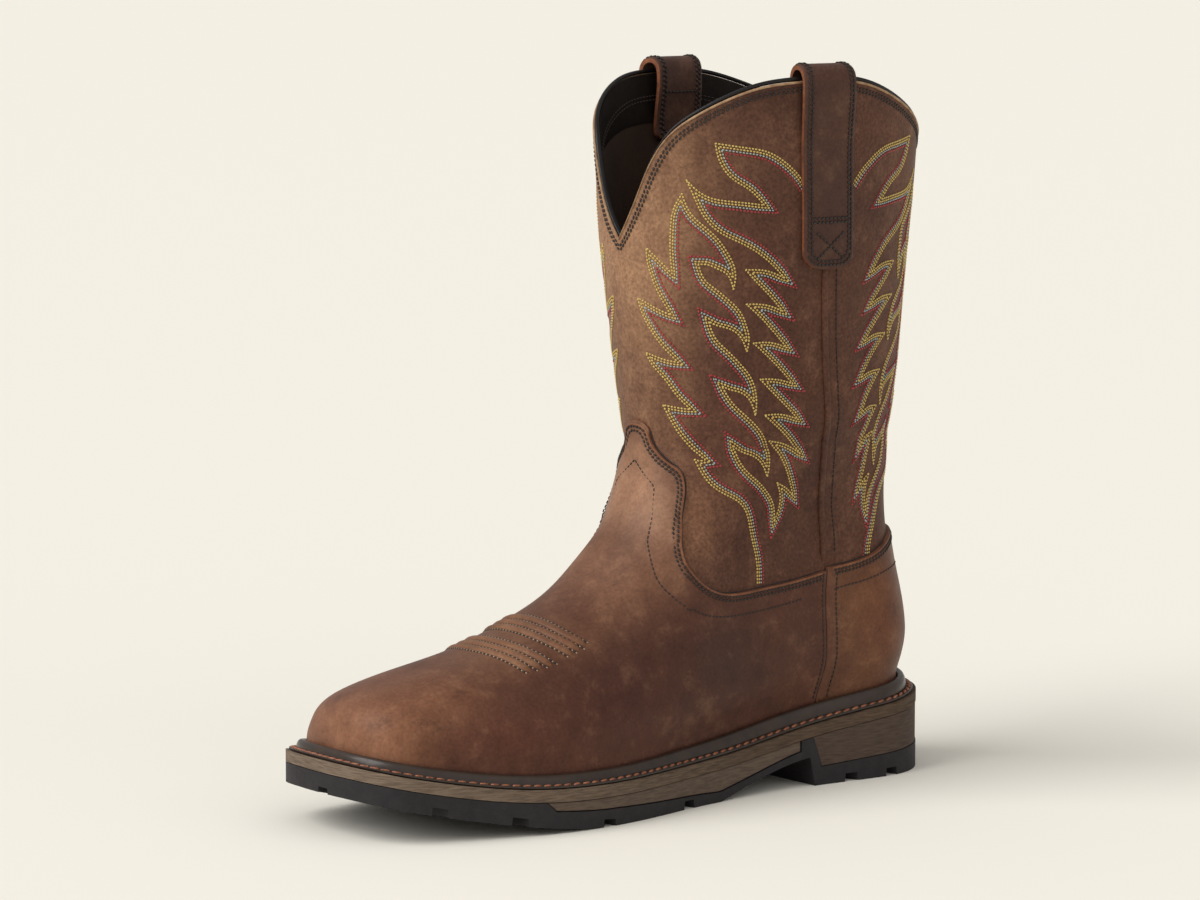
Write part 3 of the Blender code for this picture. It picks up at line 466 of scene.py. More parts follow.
def sheet_solid(outer, inner, wrap):
    """Points, faces and face kinds (0 outside, 1 inside, 2 edge) of a wall between two grids."""
    rows, columns = outer.shape[:2]
    points = np.concatenate([outer.reshape(-1, 3), inner.reshape(-1, 3)])
    half = rows * columns
    top = rings_to_faces(rows, columns, wrap, False)
    faces = [top, top[:, ::-1] + half]
    kinds = [np.zeros(len(top)), np.ones(len(top))]
    j = np.arange(columns if wrap else columns - 1)
    n = (j + 1) % columns
    low = np.stack([j, half + j, half + n, n], -1)
    base = (rows - 1) * columns
    high = np.stack([base + j, base + n, base + half + n, base + half + j], -1)
    faces += [low, high]
    kinds += [np.full(len(low), 2), np.full(len(high), 2)]
    if not wrap:
        i = np.arange(rows - 1)
        a, b = i * columns, (i + 1) * columns
        faces.append(np.stack([a, b, b + half, a + half], -1))
        faces.append(np.stack([a, a + half, b + half, b], -1) + columns - 1)
        kinds += [np.full(2 * len(i), 2)]
    return points, np.concatenate(faces), np.concatenate(kinds)


# Colour of the leather by place, sRGB, partly its own tone and partly painted light and shade (lighter where
# the key light falls, darker on the sides turned from it): s, z, reach along s, reach along z, strength,
# colour
SHAFT_TONES_AND_LIGHT = (
    (150, 228, 15, 62, 0.95, (178, 141, 108)),
    (150, 160, 11, 36, 0.55, (146, 112, 86)),
    (154, 250, 10, 40, 0.50, (186, 150, 118)),
    (128, 268, 24, 20, 0.45, (140, 106, 80)),
    (106, 292, 18, 12, 0.45, (86, 58, 45)),
    (20, 255, 22, 45, 0.60, (134, 96, 70)),
    (16, 130, 12, 50, 0.45, (128, 90, 64)),
    (100, 190, 22, 70, 0.55, (88, 58, 45)),
    (134, 118, 12, 20, 0.65, (160, 120, 92)),
    (112, 104, 14, 12, 0.55, (84, 54, 42)),
    (72, 120, 16, 60, 0.45, (88, 58, 45)),
)
VAMP_TONES_AND_LIGHT = (
    (292, 44, 16, 26, 0.85, (152, 108, 80)),
    (268, 56, 24, 14, 0.70, (142, 98, 72)),
    (232, 68, 22, 10, 0.50, (134, 98, 74)),
    (205, 76, 24, 10, 0.60, (138, 102, 76)),
    (170, 96, 20, 16, 0.75, (140, 102, 78)),
    (149, 132, 10, 26, 0.90, (182, 142, 112)),
    (180, 46, 44, 20, 0.60, (80, 46, 36)),
    (120, 60, 40, 22, 0.70, (76, 50, 40)),
    (240, 40, 24, 10, 0.60, (98, 56, 42)),
    (214, 58, 16, 12, 0.40, (92, 56, 42)),
    (138, 80, 12, 8, 0.35, (112, 74, 56)),
)
COUNTER_TONES_AND_LIGHT = ((30, 70, 26, 30, 0.6, (136, 88, 60)), (62, 60, 8, 40, 0.3, (108, 72, 50)))


def tones_at(points, base, table):
    s, z = (LENGTH / 2 - points[:, 1]) * 1e3, points[:, 2] * 1e3
    found = np.tile(np.array(linear(base)), (len(points), 1))
    for at_s, at_z, along, up, strength, colour in table:
        share = strength * np.exp(-(((s - at_s) / along) ** 2) - ((z - at_z) / up) ** 2)
        found += (np.array(linear(colour)) - found) * share[:, None]
    return found


# Materials
def shader_of(name, roughness, **sockets):
    made = bpy.data.materials.new(name)
    made.use_nodes = True
    shader = made.node_tree.nodes["Principled BSDF"]
    shader.inputs["Roughness"].default_value = roughness
    for key, value in sockets.items():
        shader.inputs[key.replace("_", " ")].default_value = value
    return made, made.node_tree, shader


def add(tree, kind, **values):
    made = tree.nodes.new(kind)
    for key, value in values.items():
        if hasattr(made, key):
            setattr(made, key, value)
        else:
            made.inputs[key.replace("_", " ")].default_value = value
    return made


def place_in(tree):
    """Where a point lies on the object."""
    place = tree.nodes.get("place") or add(tree, "ShaderNodeTexCoord", name="place")
    return place.outputs["Object"]


def noise(tree, scale, detail, rough, stretch=None):
    source = place_in(tree)
    if stretch is not None:
        mapping = add(tree, "ShaderNodeMapping")
        mapping.inputs["Scale"].default_value = stretch
        tree.links.new(source, mapping.inputs["Vector"])
        source = mapping.outputs["Vector"]
    made = add(tree, "ShaderNodeTexNoise", Scale=scale, Detail=detail, Roughness=rough)
    tree.links.new(source, made.inputs["Vector"])
    return made.outputs["Fac"]


def ramp(tree, source, low, high, first, last):
    made = add(tree, "ShaderNodeMapRange")
    made.inputs["From Min"].default_value = low
    made.inputs["From Max"].default_value = high
    made.inputs["To Min"].default_value = first
    made.inputs["To Max"].default_value = last
    tree.links.new(source, made.inputs["Value"])
    return made.outputs["Result"]


def mixed(tree, factor, first, second, blend="MIX"):
    made = add(tree, "ShaderNodeMix", data_type="RGBA", blend_type=blend)
    for socket, value in ((made.inputs["Factor"], factor), (made.inputs[6], first), (made.inputs[7], second)):
        if isinstance(value, bpy.types.NodeSocket):
            tree.links.new(value, socket)
        elif isinstance(value, tuple):
            socket.default_value = (*linear(value), 1.0)
        else:
            socket.default_value = value
    return made.outputs[2]


def bumps(tree, shader, *layers):
    """Chains bumps given as (height source, depth in metres, strength)."""
    normal = None
    for source, depth, strength in layers:
        made = add(tree, "ShaderNodeBump", Strength=strength, Distance=depth)
        tree.links.new(source, made.inputs["Height"])
        if normal is not None:
            tree.links.new(normal, made.inputs["Normal"])
        normal = made.outputs["Normal"]
    tree.links.new(normal, shader.inputs["Normal"])


def cells(tree, scale):
    made = add(tree, "ShaderNodeTexVoronoi", feature="DISTANCE_TO_EDGE", Scale=scale)
    tree.links.new(place_in(tree), made.inputs["Vector"])
    return made.outputs["Distance"]


def leather(name, colour=None, nap=1.0, gloss=0.55, wear=(162, 124, 92), wear_share=0.22):
    """Oiled leather, mottled and lighter where rubbed. With no colour it takes the mesh's tones, which hold
    painted light and shade as well as the leather's own tone.
    """
    sheen = {"Sheen_Weight": 0.04, "Sheen_Roughness": 0.5}
    made, tree, shader = shader_of(name, gloss, Specular_IOR_Level=0.20, **sheen)
    if colour is None:
        base = add(tree, "ShaderNodeAttribute", attribute_name="tone").outputs["Color"]
    else:
        base = add(tree, "ShaderNodeRGB")
        base.outputs[0].default_value = (*linear(colour), 1.0)
        base = base.outputs[0]
    cloud = noise(tree, 22, 5, 0.6)
    patch = noise(tree, 95, 5, 0.62)
    fine = noise(tree, 720, 3, 0.6)
    speck = noise(tree, 1900, 2, 0.5)
    hue = mixed(tree, ramp(tree, cloud, 0.36, 0.66, 0.0, 1.0), (222, 214, 214), (255, 253, 250))
    base = mixed(tree, 1.0, base, hue, "MULTIPLY")
    spots = mixed(tree, ramp(tree, patch, 0.34, 0.68, 0.0, 1.0), (228, 221, 218), (262, 261, 260))
    base = mixed(tree, 1.0, base, spots, "MULTIPLY")
    base = mixed(tree, ramp(tree, patch, 0.55, 0.78, 0.0, wear_share), base, wear)
    scratch = noise(tree, 46, 6, 0.78, (1.0, 0.6, 1.0))
    base = mixed(tree, ramp(tree, scratch, 0.59, 0.70, 0.0, 0.6 * wear_share + 0.08), base, wear)
    base = mixed(tree, ramp(tree, scratch, 0.42, 0.30, 0.0, 0.45), base, (52, 32, 25))
    grain = mixed(tree, ramp(tree, fine, 0.3, 0.7, 0.0, 1.0), (202, 195, 192), (268, 266, 264))
    base = mixed(tree, nap, base, mixed(tree, 1.0, base, grain, "MULTIPLY"))
    tree.links.new(base, shader.inputs["Base Color"])
    tree.links.new(ramp(tree, cloud, 0.3, 0.7, gloss - 0.10, gloss + 0.12), shader.inputs["Roughness"])
    coarse = (patch, 0.0004, 0.35), (cells(tree, 620), 0.00012, 0.45)
    bumps(tree, shader, *coarse, (fine, 0.00016, 0.5 * nap), (speck, 0.00008, 0.4))
    return made


def plain(name, colour, second, gloss, scale=180, depth=0.0002, stretch=None, heel=None, **sockets):
    """A surface of two near colours with a fine roughness, with painted shade darkening it towards the heel
    where a colour is given.
    """
    made, tree, shader = shader_of(name, gloss, **sockets)
    broad = noise(tree, scale, 5, 0.6, stretch)
    fine = noise(tree, scale * 6, 3, 0.6, stretch)
    base = mixed(tree, ramp(tree, broad, 0.35, 0.66, 0.0, 1.0), colour, second)
    # Painted shade: the colour given darkens the surface towards the heel end.
    if heel is not None:
        split = add(tree, "ShaderNodeSeparateXYZ")
        tree.links.new(place_in(tree), split.inputs[0])
        share = ramp(tree, split.outputs["Y"], -0.12, 0.05, 0.0, 1.0)
        base = mixed(tree, 1.0, base, mixed(tree, share, (255, 255, 255), heel), "MULTIPLY")
    tree.links.new(base, shader.inputs["Base Color"])
    tree.links.new(ramp(tree, fine, 0.3, 0.7, gloss - 0.06, gloss + 0.08), shader.inputs["Roughness"])
    bumps(tree, shader, (broad, depth, 0.5), (fine, depth * 0.5, 0.5))
    return made


SHAFT_BASE = (106, 73, 58)
VAMP_BASE = (98, 62, 47)
COUNTER_BASE = (112, 76, 54)
shaft_leather = leather("shaft_leather", nap=1.0, gloss=0.66)
vamp_leather = leather("vamp_leather", nap=0.55, gloss=0.50)
strap_leather = leather("strap_leather", colour=(90, 63, 52), nap=0.6, gloss=0.60, wear_share=0.15)
cut_edge = plain("cut_edge", (138, 84, 56), (96, 58, 40), 0.7, 300, Specular_IOR_Level=0.2)
pale_edge = plain("pale_edge", (176, 144, 108), (136, 100, 70), 0.6, 300)
lining = leather("lining_leather", (60, 42, 27), nap=0.4, gloss=0.75, wear=(56, 42, 34), wear_share=0.2)
binding = plain("black_binding", (15, 13, 13), (22, 19, 18), 0.36, 240, 0.00015, Specular_IOR_Level=0.30)
inner_band = plain("inner_band", (22, 17, 14), (31, 24, 20), 0.6, 240, 0.00015, Specular_IOR_Level=0.10)
footbed = plain("footbed_fabric", (58, 46, 38), (44, 35, 30), 0.9, 500)
polish = {"Specular_IOR_Level": 0.4, "Coat_Weight": 0.10}
rand = plain("dark_rand", (46, 35, 28), (58, 43, 34), 0.34, 120, 0.00006, **polish)
layered = {"scale": 260, "depth": 0.0002, "stretch": (0.5, 0.5, 6.0)}
# Painted shade: the stack is darkened towards the heel, where less light falls.
layered_shaded_heel = {"heel": (196, 186, 178), **layered}
stack = plain("brown_stack", (126, 109, 93), (90, 76, 64), 0.75, Specular_IOR_Level=0.2, **layered_shaded_heel)
block = plain("brown_block", (86, 70, 60), (66, 53, 45), 0.70, Specular_IOR_Level=0.25, **layered)
layered = {"scale": 300, "depth": 0.00018, "stretch": (0.5, 0.5, 4.0)}
panel_brown = plain("brown_panel", (104, 88, 75), (82, 68, 58), 0.70, Specular_IOR_Level=0.25, **layered)
rubber = plain("black_rubber", (35, 33, 35), (43, 40, 42), 0.62, 220, 0.0002, Specular_IOR_Level=0.25)
black_thread = plain("black_thread", (30, 22, 19), (45, 34, 29), 0.55, 900)
dark_thread = plain("dark_thread", (48, 33, 28), (64, 46, 38), 0.6, 900)
# Pale colour for dots between the dark toe stitches: painted highlight.
toe_highlight_paint = plain("toe_stitch_highlight", (190, 170, 146), (150, 124, 98), 0.6, 900)
welt_thread = plain("welt_thread", (176, 112, 78), (120, 66, 46), 0.5, 700)
yellow_thread = plain("yellow_thread", (214, 188, 104), (186, 154, 74), 0.5, 900, Sheen_Weight=0.2)
blue_thread = plain("pale_blue_thread", (172, 186, 182), (138, 156, 156), 0.5, 900, Sheen_Weight=0.2)
red_thread = plain("red_thread", (180, 34, 44), (142, 26, 36), 0.5, 900, Sheen_Weight=0.2)


# Leather pieces
SIDES = ((1, "outer"), (-1, "inner"))


def all_angles(count, crowd=0.38):
    """Angles all round, closer together near the front and back lines."""
    u = np.linspace(0, 1, count + 1)
    one = np.pi * (u - crowd * np.sin(2 * np.pi * u) / (2 * np.pi))
    return np.r_[one, -one[-2:0:-1]]


def upper():
    phi = all_angles(100)
    foot, shaft = np.linspace(0.05, LAST_LEVEL_RING, 68), np.linspace(LAST_LEVEL_RING, 1, 34)
    v = np.r_[0, 0.016, 0.032, foot, shaft[1:]]
    grid_v, grid_phi = np.meshgrid(v, phi, indexing="ij")
    outer = skin_off(grid_phi, grid_v, np.zeros_like(grid_v))
    inner = skin_off(grid_phi, grid_v, np.full_like(grid_v, -WALL))
    lift = GAP * (1 - grid_v[..., None])
    outer[..., 2:] += lift
    inner[..., 2:] += lift
    outer[0, :, 2] = seat_at(LENGTH / 2 - outer[0, :, 1]) + GAP
    inner[0, :, 2] = seat_at(LENGTH / 2 - inner[0, :, 1]) + GAP
    points, faces, kinds = sheet_solid(outer, inner, True)
    kinds[kinds == 2] = 1
    tones = tones_at(points, SHAFT_BASE, SHAFT_TONES_AND_LIGHT)
    made = make("upper_leather", points, faces, [shaft_leather, lining], kinds, tones=tones)
    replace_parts(made, "upper")


def vamp_edge(count):
    """The vamp's top edge in the side view, from the front line to the side seam."""
    behind = np.array(column(VAMP_EDGE, 0, LENGTH))
    height = np.array([height_of(row[1]) for row in VAMP_EDGE])
    place = front_at(height) - behind
    walk = np.r_[0, np.cumsum(np.hypot(np.diff(place), np.diff(height)))]
    at = np.linspace(0, walk[-1], count)
    s, z = spline(walk, place)(at), spline(walk, height)(at)
    keep = s > seam_at(z) + GAP
    s, z = s[keep], z[keep]
    last_z = z[-1]
    return np.r_[s, seam_at(last_z) + GAP], np.r_[z, last_z]


def counter_edge(count):
    """The counter's top edge in the side view, from the side seam to the back line."""
    share = np.linspace(0, 1, count)
    z = spline(column(COUNTER_EDGE, 0), [height_of(row[1]) for row in COUNTER_EDGE])(share)
    start = float(seam_at(z[0])) - GAP
    return start + (float(back_at(z[-1])) - start) * share, z


def seam_angles(side, v, shift):
    """Angles of the side seam, shifted forward, at shares of the way up."""
    found = []
    theta = np.linspace(0.3, np.pi - 0.3, 160)
    for share in v:
        s, z = place_on(theta, np.full_like(theta, share))
        found.append(side * np.interp(0, -(s - seam_at(z) - shift), theta))
    return np.array(found)


TIGHT_FOLD = 0.1442
FOLD_REACH = (0.004, 0.009)
FOLD_PASSES = 6


def eased(points):
    """A grid on the skin with its tight fold before the ankle smoothed out."""
    share = 1 - smooth_step(np.abs(LENGTH / 2 - points[..., 1] - TIGHT_FOLD), *FOLD_REACH)
    share = share[1:-1, 1:-1, None]
    for _ in range(FOLD_PASSES):
        around = (points[:-2, 1:-1] + points[2:, 1:-1] + points[1:-1, :-2] + points[1:-1, 2:]) / 4
        points[1:-1, 1:-1] += share * (around - points[1:-1, 1:-1])
    return points


def overlay_solid(name, node, phi, v, finishes, base, table):
    """A leather layer over the skin with an eased top edge."""
    full = np.full_like(v, GAP + OVERLAY)
    full[-1] -= 0.45 * OVERLAY
    full[-2] -= 0.10 * OVERLAY
    outer = skin_off(phi, v, full)
    outer[:-2] = eased(outer[:-2].copy())
    inner = skin_off(phi, v, np.full_like(v, GAP))
    outer[..., 2] += GAP * (1 - v)
    inner[..., 2] += GAP * (1 - v)
    outer[0, :, 2] = seat_at(LENGTH / 2 - outer[0, :, 1]) + GAP
    inner[0, :, 2] = seat_at(LENGTH / 2 - inner[0, :, 1]) + GAP
    points, faces, kinds = sheet_solid(outer, inner, False)
    made = make(name, points, faces, finishes, (kinds == 2).astype(int), tones=tones_at(points, base, table))
    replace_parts(made, node)


def edge_rows(count):
    """Shares from the sole to the edge, with two close rows at the edge."""
    return np.r_[np.linspace(0, 1 - 0.016, count), 1 - 0.007, 1.0]


def vamp():
    sides = []
    for side in (1, -1):
        s, z = vamp_edge(150)
        top_phi, top_v = find(side, s, z)
        top_phi[0] = 0.0
        low_end = seam_angles(side, [0.0], GAP)[0]
        share = np.linspace(0, 1, len(s))
        low_phi = top_phi + (low_end - top_phi[-1]) * share**3
        rise = edge_rows(72)[:, None]
        phi = low_phi + (top_phi - low_phi) * rise
        v = top_v * rise
        phi[:, -1] = seam_angles(side, v[:, -1], GAP)
        for back in range(2, 7):
            phi[:, -back] = phi[:, -1] + (phi[:, -8] - phi[:, -1]) * (back - 1) / 7
        sides.append((phi, v))
    (phi_a, v_a), (phi_b, v_b) = sides
    phi = np.hstack([phi_b[:, :0:-1], phi_a])
    v = np.hstack([v_b[:, :0:-1], v_a])
    overlay_solid("vamp_leather_piece", "vamp", phi, v, [vamp_leather, cut_edge], VAMP_BASE, VAMP_TONES_AND_LIGHT)


def counter():
    sides = []
    for side in (1, -1):
        s, z = counter_edge(46)
        phi, v = find(side, s, z)
        phi[-1] = side * np.pi
        grid_v = edge_rows(40)[:, None] * v
        first = seam_angles(side, grid_v[:, 0], -GAP)
        grid_phi = first[:, None] + (side * np.pi - first[:, None]) * (phi - phi[0]) / (phi[-1] - phi[0])
        sides.append((grid_phi, grid_v))
    (phi_a, v_a), (phi_b, v_b) = sides
    phi = np.hstack([phi_a, phi_b[:, -2::-1] + 2 * np.pi])
    v = np.hstack([v_a, v_b[:, -2::-1]])
    overlay_solid("counter_leather", "counter", phi, v, [vamp_leather, cut_edge], COUNTER_BASE, COUNTER_TONES_AND_LIGHT)


CORD_ENDS = (0.25, 0.7, 0.92)
CORD_SIDES = 7
CORD_FOOT = 0.0002


def ridge(name, runs, width, height, finish, base_offset, tones=None):
    """A low rounded cord laid on the leather along places given as (points, normals)."""
    all_points, all_faces, start = [], [], 0
    for points, normals in runs:
        along = np.gradient(points, axis=0)
        along /= np.linalg.norm(along, axis=1, keepdims=True)
        across = np.cross(normals, along)
        ends = np.ones(len(points))
        ends[:3] = CORD_ENDS
        ends[-3:] = CORD_ENDS[::-1]
        rows = []
        for t in np.linspace(0, np.pi, CORD_SIDES):
            rise = (np.sin(t) ** 0.8 * height * ends + base_offset)[:, None]
            rows.append(points + across * (np.cos(t) * width / 2) * ends[:, None] + normals * rise)
        rows.append(points + normals * (base_offset - CORD_FOOT))
        grid = np.array(rows).transpose(1, 0, 2)
        faces = rings_to_faces(len(points), len(rows), True, False)
        all_points.append(grid.reshape(-1, 3))
        all_faces += (faces + start).tolist()
        all_faces.append([start + k for k in range(len(rows))])
        all_faces.append([start + (len(points) - 1) * len(rows) + k for k in reversed(range(len(rows)))])
        start += grid.shape[0] * grid.shape[1]
    points = np.concatenate(all_points)
    shades = None if tones is None else tones_at(points, *tones)
    return face_out(make(name, points, all_faces, [finish], tones=shades))


def pipings():
    low, high = height_of(COUNTER_EDGE[0][1]) + PIPING_WIDTH, SHAFT_HEIGHT - STRAP_OUTSIDE + 0.002
    z = np.linspace(low, high, 70)
    tones = (SHAFT_BASE, SHAFT_TONES_AND_LIGHT)
    for side, word in SIDES:
        run = on_side(side, seam_at(z) + PIPING_WIDTH / 2, z, 0.0)
        made = ridge("seam_piping_" + word, [run], PIPING_WIDTH, PIPING_HEIGHT, shaft_leather, GAP, tones)
        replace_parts(made, "side_piping_" + word)


def strap_centre(z):
    return STRAP_CENTRE + STRAP_LEAN * (np.asarray(z, float) - SHAFT_HEIGHT)


def strap_corner(shift):
    """Share of a corner's height that the strap's rounded end gives up away from its middle."""
    return 1 - np.sqrt(np.maximum(0.0, 1 - (np.abs(shift) / (0.52 * STRAP_WIDTH)) ** 4))


def strap_path(side, shift, outside):
    """One line of the strap's outer or inner face, from the foot of its long leg over the collar."""
    top = SHAFT_HEIGHT + GAP
    corner = float(strap_corner(shift))
    thick = STRAP_THICKNESS if outside else 0.0
    z = np.linspace(top - STRAP_OUTSIDE + 0.010 * corner, top - 0.004, 46)
    bow = STRAP_BOW_OUT * smooth_step(z, top - 0.4 * STRAP_OUTSIDE, top)
    up, _ = on_side(side, strap_centre(z) + shift, z, GAP + bow + thick, False)
    z = np.linspace(top - 0.004, top - STRAP_INSIDE + 0.006 * corner, 20)
    bow = STRAP_BOW_IN * smooth_step(z, top - 0.9 * STRAP_INSIDE, top)
    down, _ = on_side(side, strap_centre(z) + shift, z, -WALL - GAP - bow - thick, False)
    rise = 0.004 + STRAP_RISE - (0.0 if outside else STRAP_THICKNESS)
    turn = np.linspace(0, np.pi, 25)[1:-1, None]
    over = up[-1] + (down[0] - up[-1]) * (1 - np.cos(turn)) / 2
    over[:, 2] += rise * np.sin(turn[:, 0]) ** 0.55
    return np.concatenate([up, over, down])


def straps():
    shares = np.array([-0.5, -0.485, -0.45, -0.3, -0.15, 0, 0.15, 0.3, 0.45, 0.485, 0.5])
    squeeze = np.array([0.30, 0.10, 0.0, 0.0, 0.0, 0.0, 0.0, 0.0, 0.0, 0.10, 0.30]) * STRAP_THICKNESS
    for side, word in SIDES:
        outer, inner = [], []
        for shift, down in zip(shares * STRAP_WIDTH, squeeze):
            far, near = strap_path(side, shift, True), strap_path(side, shift, False)
            way = (near - far) / np.linalg.norm(near - far, axis=1, keepdims=True)
            outer.append(far + way * down)
            inner.append(near)
        outer, inner = np.array(outer).transpose(1, 0, 2), np.array(inner).transpose(1, 0, 2)
        points, faces, kinds = sheet_solid(outer, inner, False)
        edges = (kinds == 2).astype(int)
        made = face_out(make("strap_leather_" + word, points, faces, [strap_leather, cut_edge], edges))
        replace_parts(made, "pull_strap_" + word)


def tube(name, centre, across, up, radius, finish, sides=10):
    """A closed round cord along a closed line."""
    rings = []
    for turn in np.linspace(0, 2 * np.pi, sides, endpoint=False):
        rings.append(centre + across * math.cos(turn) * radius + up * math.sin(turn) * radius)
    points = np.concatenate(rings)
    faces = rings_to_faces(sides, len(centre), True, True)
    return face_out(make(name, points, faces, [finish]))


BAND_DEPTH = 0.052
BAND_ROWS = ((0.0, 0.0), (0.12, 0.0006), (0.5, 0.0007), (0.9, 0.0006), (1.0, 0.0))


def collar():
    """The dark binding on the rim, the pale edge outside it and the band inside the collar."""
    phi = all_angles(180)
    ones = np.ones_like(phi)
    middle = skin_off(phi, ones, np.full_like(phi, -WALL * 0.55))
    outside = skin_off(phi, ones, np.zeros_like(phi))
    across = outside - middle
    across /= np.linalg.norm(across, axis=1, keepdims=True)
    up = np.tile([0.0, 0.0, 1.0], (len(phi), 1))
    radius = COLLAR_BEAD / 2
    made = tube("collar_bead", middle + up * (2 * GAP + 0.8 * radius), across, up, radius, binding)
    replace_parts(made, "collar_binding")
    edge = skin_off(phi, ones, np.full_like(phi, 0.00005))
    tube("collar_pale_edge", edge, across, up, 0.00055, pale_edge, 8)
    rows = []
    for share, off in BAND_ROWS:
        v = ones - share * BAND_DEPTH
        rows.append(skin_off(phi, v, np.full_like(phi, -WALL - 0.00005 - off)))
    for share in (1.0, 0.0):
        rows.append(skin_off(phi, ones - share * BAND_DEPTH, np.full_like(phi, -WALL + 0.0003)))
    grid = np.array(rows)
    faces = rings_to_faces(len(rows), len(phi), True, True)
    made = face_out(make("collar_inner_band", grid.reshape(-1, 3), faces, [inner_band]))


# Sole
def foot_line(count):
    """The skin's lowest line and the ways out from it, both in plan."""
    phi = all_angles(count, 0.5)
    line = skin(phi, np.zeros_like(phi))
    along = (np.roll(line, -1, 0) - np.roll(line, 1, 0))[:, :2]
    out = np.stack([along[:, 1], -along[:, 0]], -1)
    out /= np.linalg.norm(out, axis=1, keepdims=True)
    if (out * (line[:, :2] - line[:, :2].mean(0))).sum() < 0:
        out = -out
    return line, out


LINE, OUT = foot_line(130)


def outline(inset):
    """Plan outline of the sole, moved in from its outermost line."""
    return LINE[:, :2] + OUT * (SKIN_INSET - inset)


def seat_of(plan):
    return seat_at(LENGTH / 2 - plan[:, 1])


# The welt's top from its outer edge over the stitched groove: inset and depth under the ledge
WELT_TOP = (
    (0.0, 0.0003), (0.0003, 0.0), (0.0009, 0.00005), (0.0013, 0.0004), (0.0021, 0.0004), (0.0025, 0.0),
)
# The rand's bulge: shares of its width and of its height
RAND_BULGE = (
    (0.0, 0.40), (0.05, 0.58), (0.14, 0.74), (0.27, 0.88),
    (0.42, 0.965), (0.58, 1.0), (0.75, 0.99), (0.90, 0.94),
)


def welt():
    """The welt with its stitched groove and the raised rand inside it, as rings round the foot."""
    width = WELT_WIDTH - WELT_SETBACK - STITCH_LEDGE
    ledge = WELT_SETBACK + STITCH_LEDGE
    section = [(WELT_SETBACK + inset, GAP + rise, 0) for inset, rise in ((0.0003, 0.0), (0.0, 0.0003))]
    section += [(WELT_SETBACK + inset, WELT_LEDGE - sunk, 0) for inset, sunk in WELT_TOP]
    section.append((ledge - 0.0002, WELT_LEDGE, 0))
    section += [(ledge + share * width, 0.0, rise) for share, rise in RAND_BULGE]
    section += [(WELT_WIDTH - GAP, 0.0, 0.85), (WELT_WIDTH - GAP, GAP, 0)]
    rings = []
    for inset, rise, share in section:
        plan = outline(inset)
        rings.append(np.column_stack([plan, seat_of(plan) + rise + share * bead_at(LENGTH / 2 - plan[:, 1])]))
    faces = rings_to_faces(len(rings), len(LINE), True, True)
    made = face_out(make("rand_and_welt", np.concatenate(rings), faces, [rand], sharp=0.7))
    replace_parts(made, "welt")


def insole():
    plan = outline(SKIN_INSET + WALL + 2 * GAP)
    count = len(plan)
    middle = np.column_stack([np.zeros(count), plan[:, 1]])
    rings = []
    for share, rise in ((1.0, 0.0), (1.0, 0.8), (0.985, 1.0), (0.8, 1.0), (0.5, 0.97), (0.2, 0.95)):
        at = middle + (plan - middle) * share
        rings.append(np.column_stack([at, seat_of(plan) + GAP + rise * INSOLE_THICKNESS]))
    for share in (0.2, 0.6):
        at = middle + (plan - middle) * share
        rings.append(np.column_stack([at, seat_of(plan) + GAP]))
    made = make("footbed", np.concatenate(rings), rings_to_faces(len(rings), count, True, True), [footbed])
    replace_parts(face_out(made), "insole")


def midsole_low(s):
    return seat_at(s) - MIDSOLE_THICKNESS


def tread_at(s):
    start = SPRING_START * LENGTH
    rise = np.clip((np.asarray(s, float) - start) / (LENGTH - start), 0, 1)
    return TOE_SPRING * rise**1.5


def waist_at(s):
    share = np.clip((np.asarray(s, float) - HEEL_LENGTH) / (TREAD_START * LENGTH - HEEL_LENGTH), 0, 1)
    return BREAST_HEIGHT * (1 - share**1.6) * (1 - 0.25 * share)


def under_at(s):
    return np.where(np.asarray(s) < TREAD_START * LENGTH, waist_at(s), tread_at(s))


def panel_low(s):
    return under_at(s) + rubber_at(s)


def lift_at(s):
    return LIFT_BACK + (LIFT_FRONT - LIFT_BACK) * np.clip(np.asarray(s, float) / HEEL_LENGTH, 0, 1)


PANEL_FRONT = PANEL_END * LENGTH


def closed_prism(name, first, second, finish):
    """A solid between two outlines with as many points each."""
    count = len(first)
    faces = [list(range(count)), list(range(2 * count - 1, count - 1, -1))]
    faces += [[j, count + j, count + (j + 1) % count, (j + 1) % count] for j in range(count)]
    return face_out(bare(name, np.concatenate([first, second]), faces, [finish]), join=False)


def boolean(target, other, operation):
    step = target.modifiers.new("cut", "BOOLEAN")
    step.object = other
    step.operation = operation
    step.solver = "EXACT"
    graph = bpy.context.evaluated_depsgraph_get()
    mesh = bpy.data.meshes.new_from_object(target.evaluated_get(graph))
    target.modifiers.clear()
    target.data = mesh
    bpy.data.objects.remove(other)


def sole_layer(name, node, inset, profile, finish, cutter=None, ease=0.0004):
    """A layer of the sole: its plan outline crossed with its side view, with eased edges."""
    plan = outline(inset)
    low = np.column_stack([plan, np.full(len(plan), -0.01)])
    high = np.column_stack([plan, np.full(len(plan), HEEL_HEIGHT + 0.02)])
    layer = closed_prism(name, low, high, finish)
    profile = np.array(profile)
    y, z = LENGTH / 2 - profile[:, 0], profile[:, 1]
    near = np.column_stack([np.full(len(y), BALL_WIDTH), y, z])
    far = np.column_stack([np.full(len(y), -BALL_WIDTH), y, z])
    boolean(layer, closed_prism("side_view", near, far, finish), "INTERSECT")
    if cutter is not None:
        boolean(layer, cutter, "DIFFERENCE")
    layer.data.shade_smooth()
    layer.data.set_sharp_from_angle(angle=0.5)
    soften = layer.modifiers.new("ease", "BEVEL")
    soften.width = ease
    soften.segments = 2
    soften.limit_method = "ANGLE"
    soften.angle_limit = 0.6
    soften.harden_normals = False
    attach(layer, "root")
    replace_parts(layer, node)


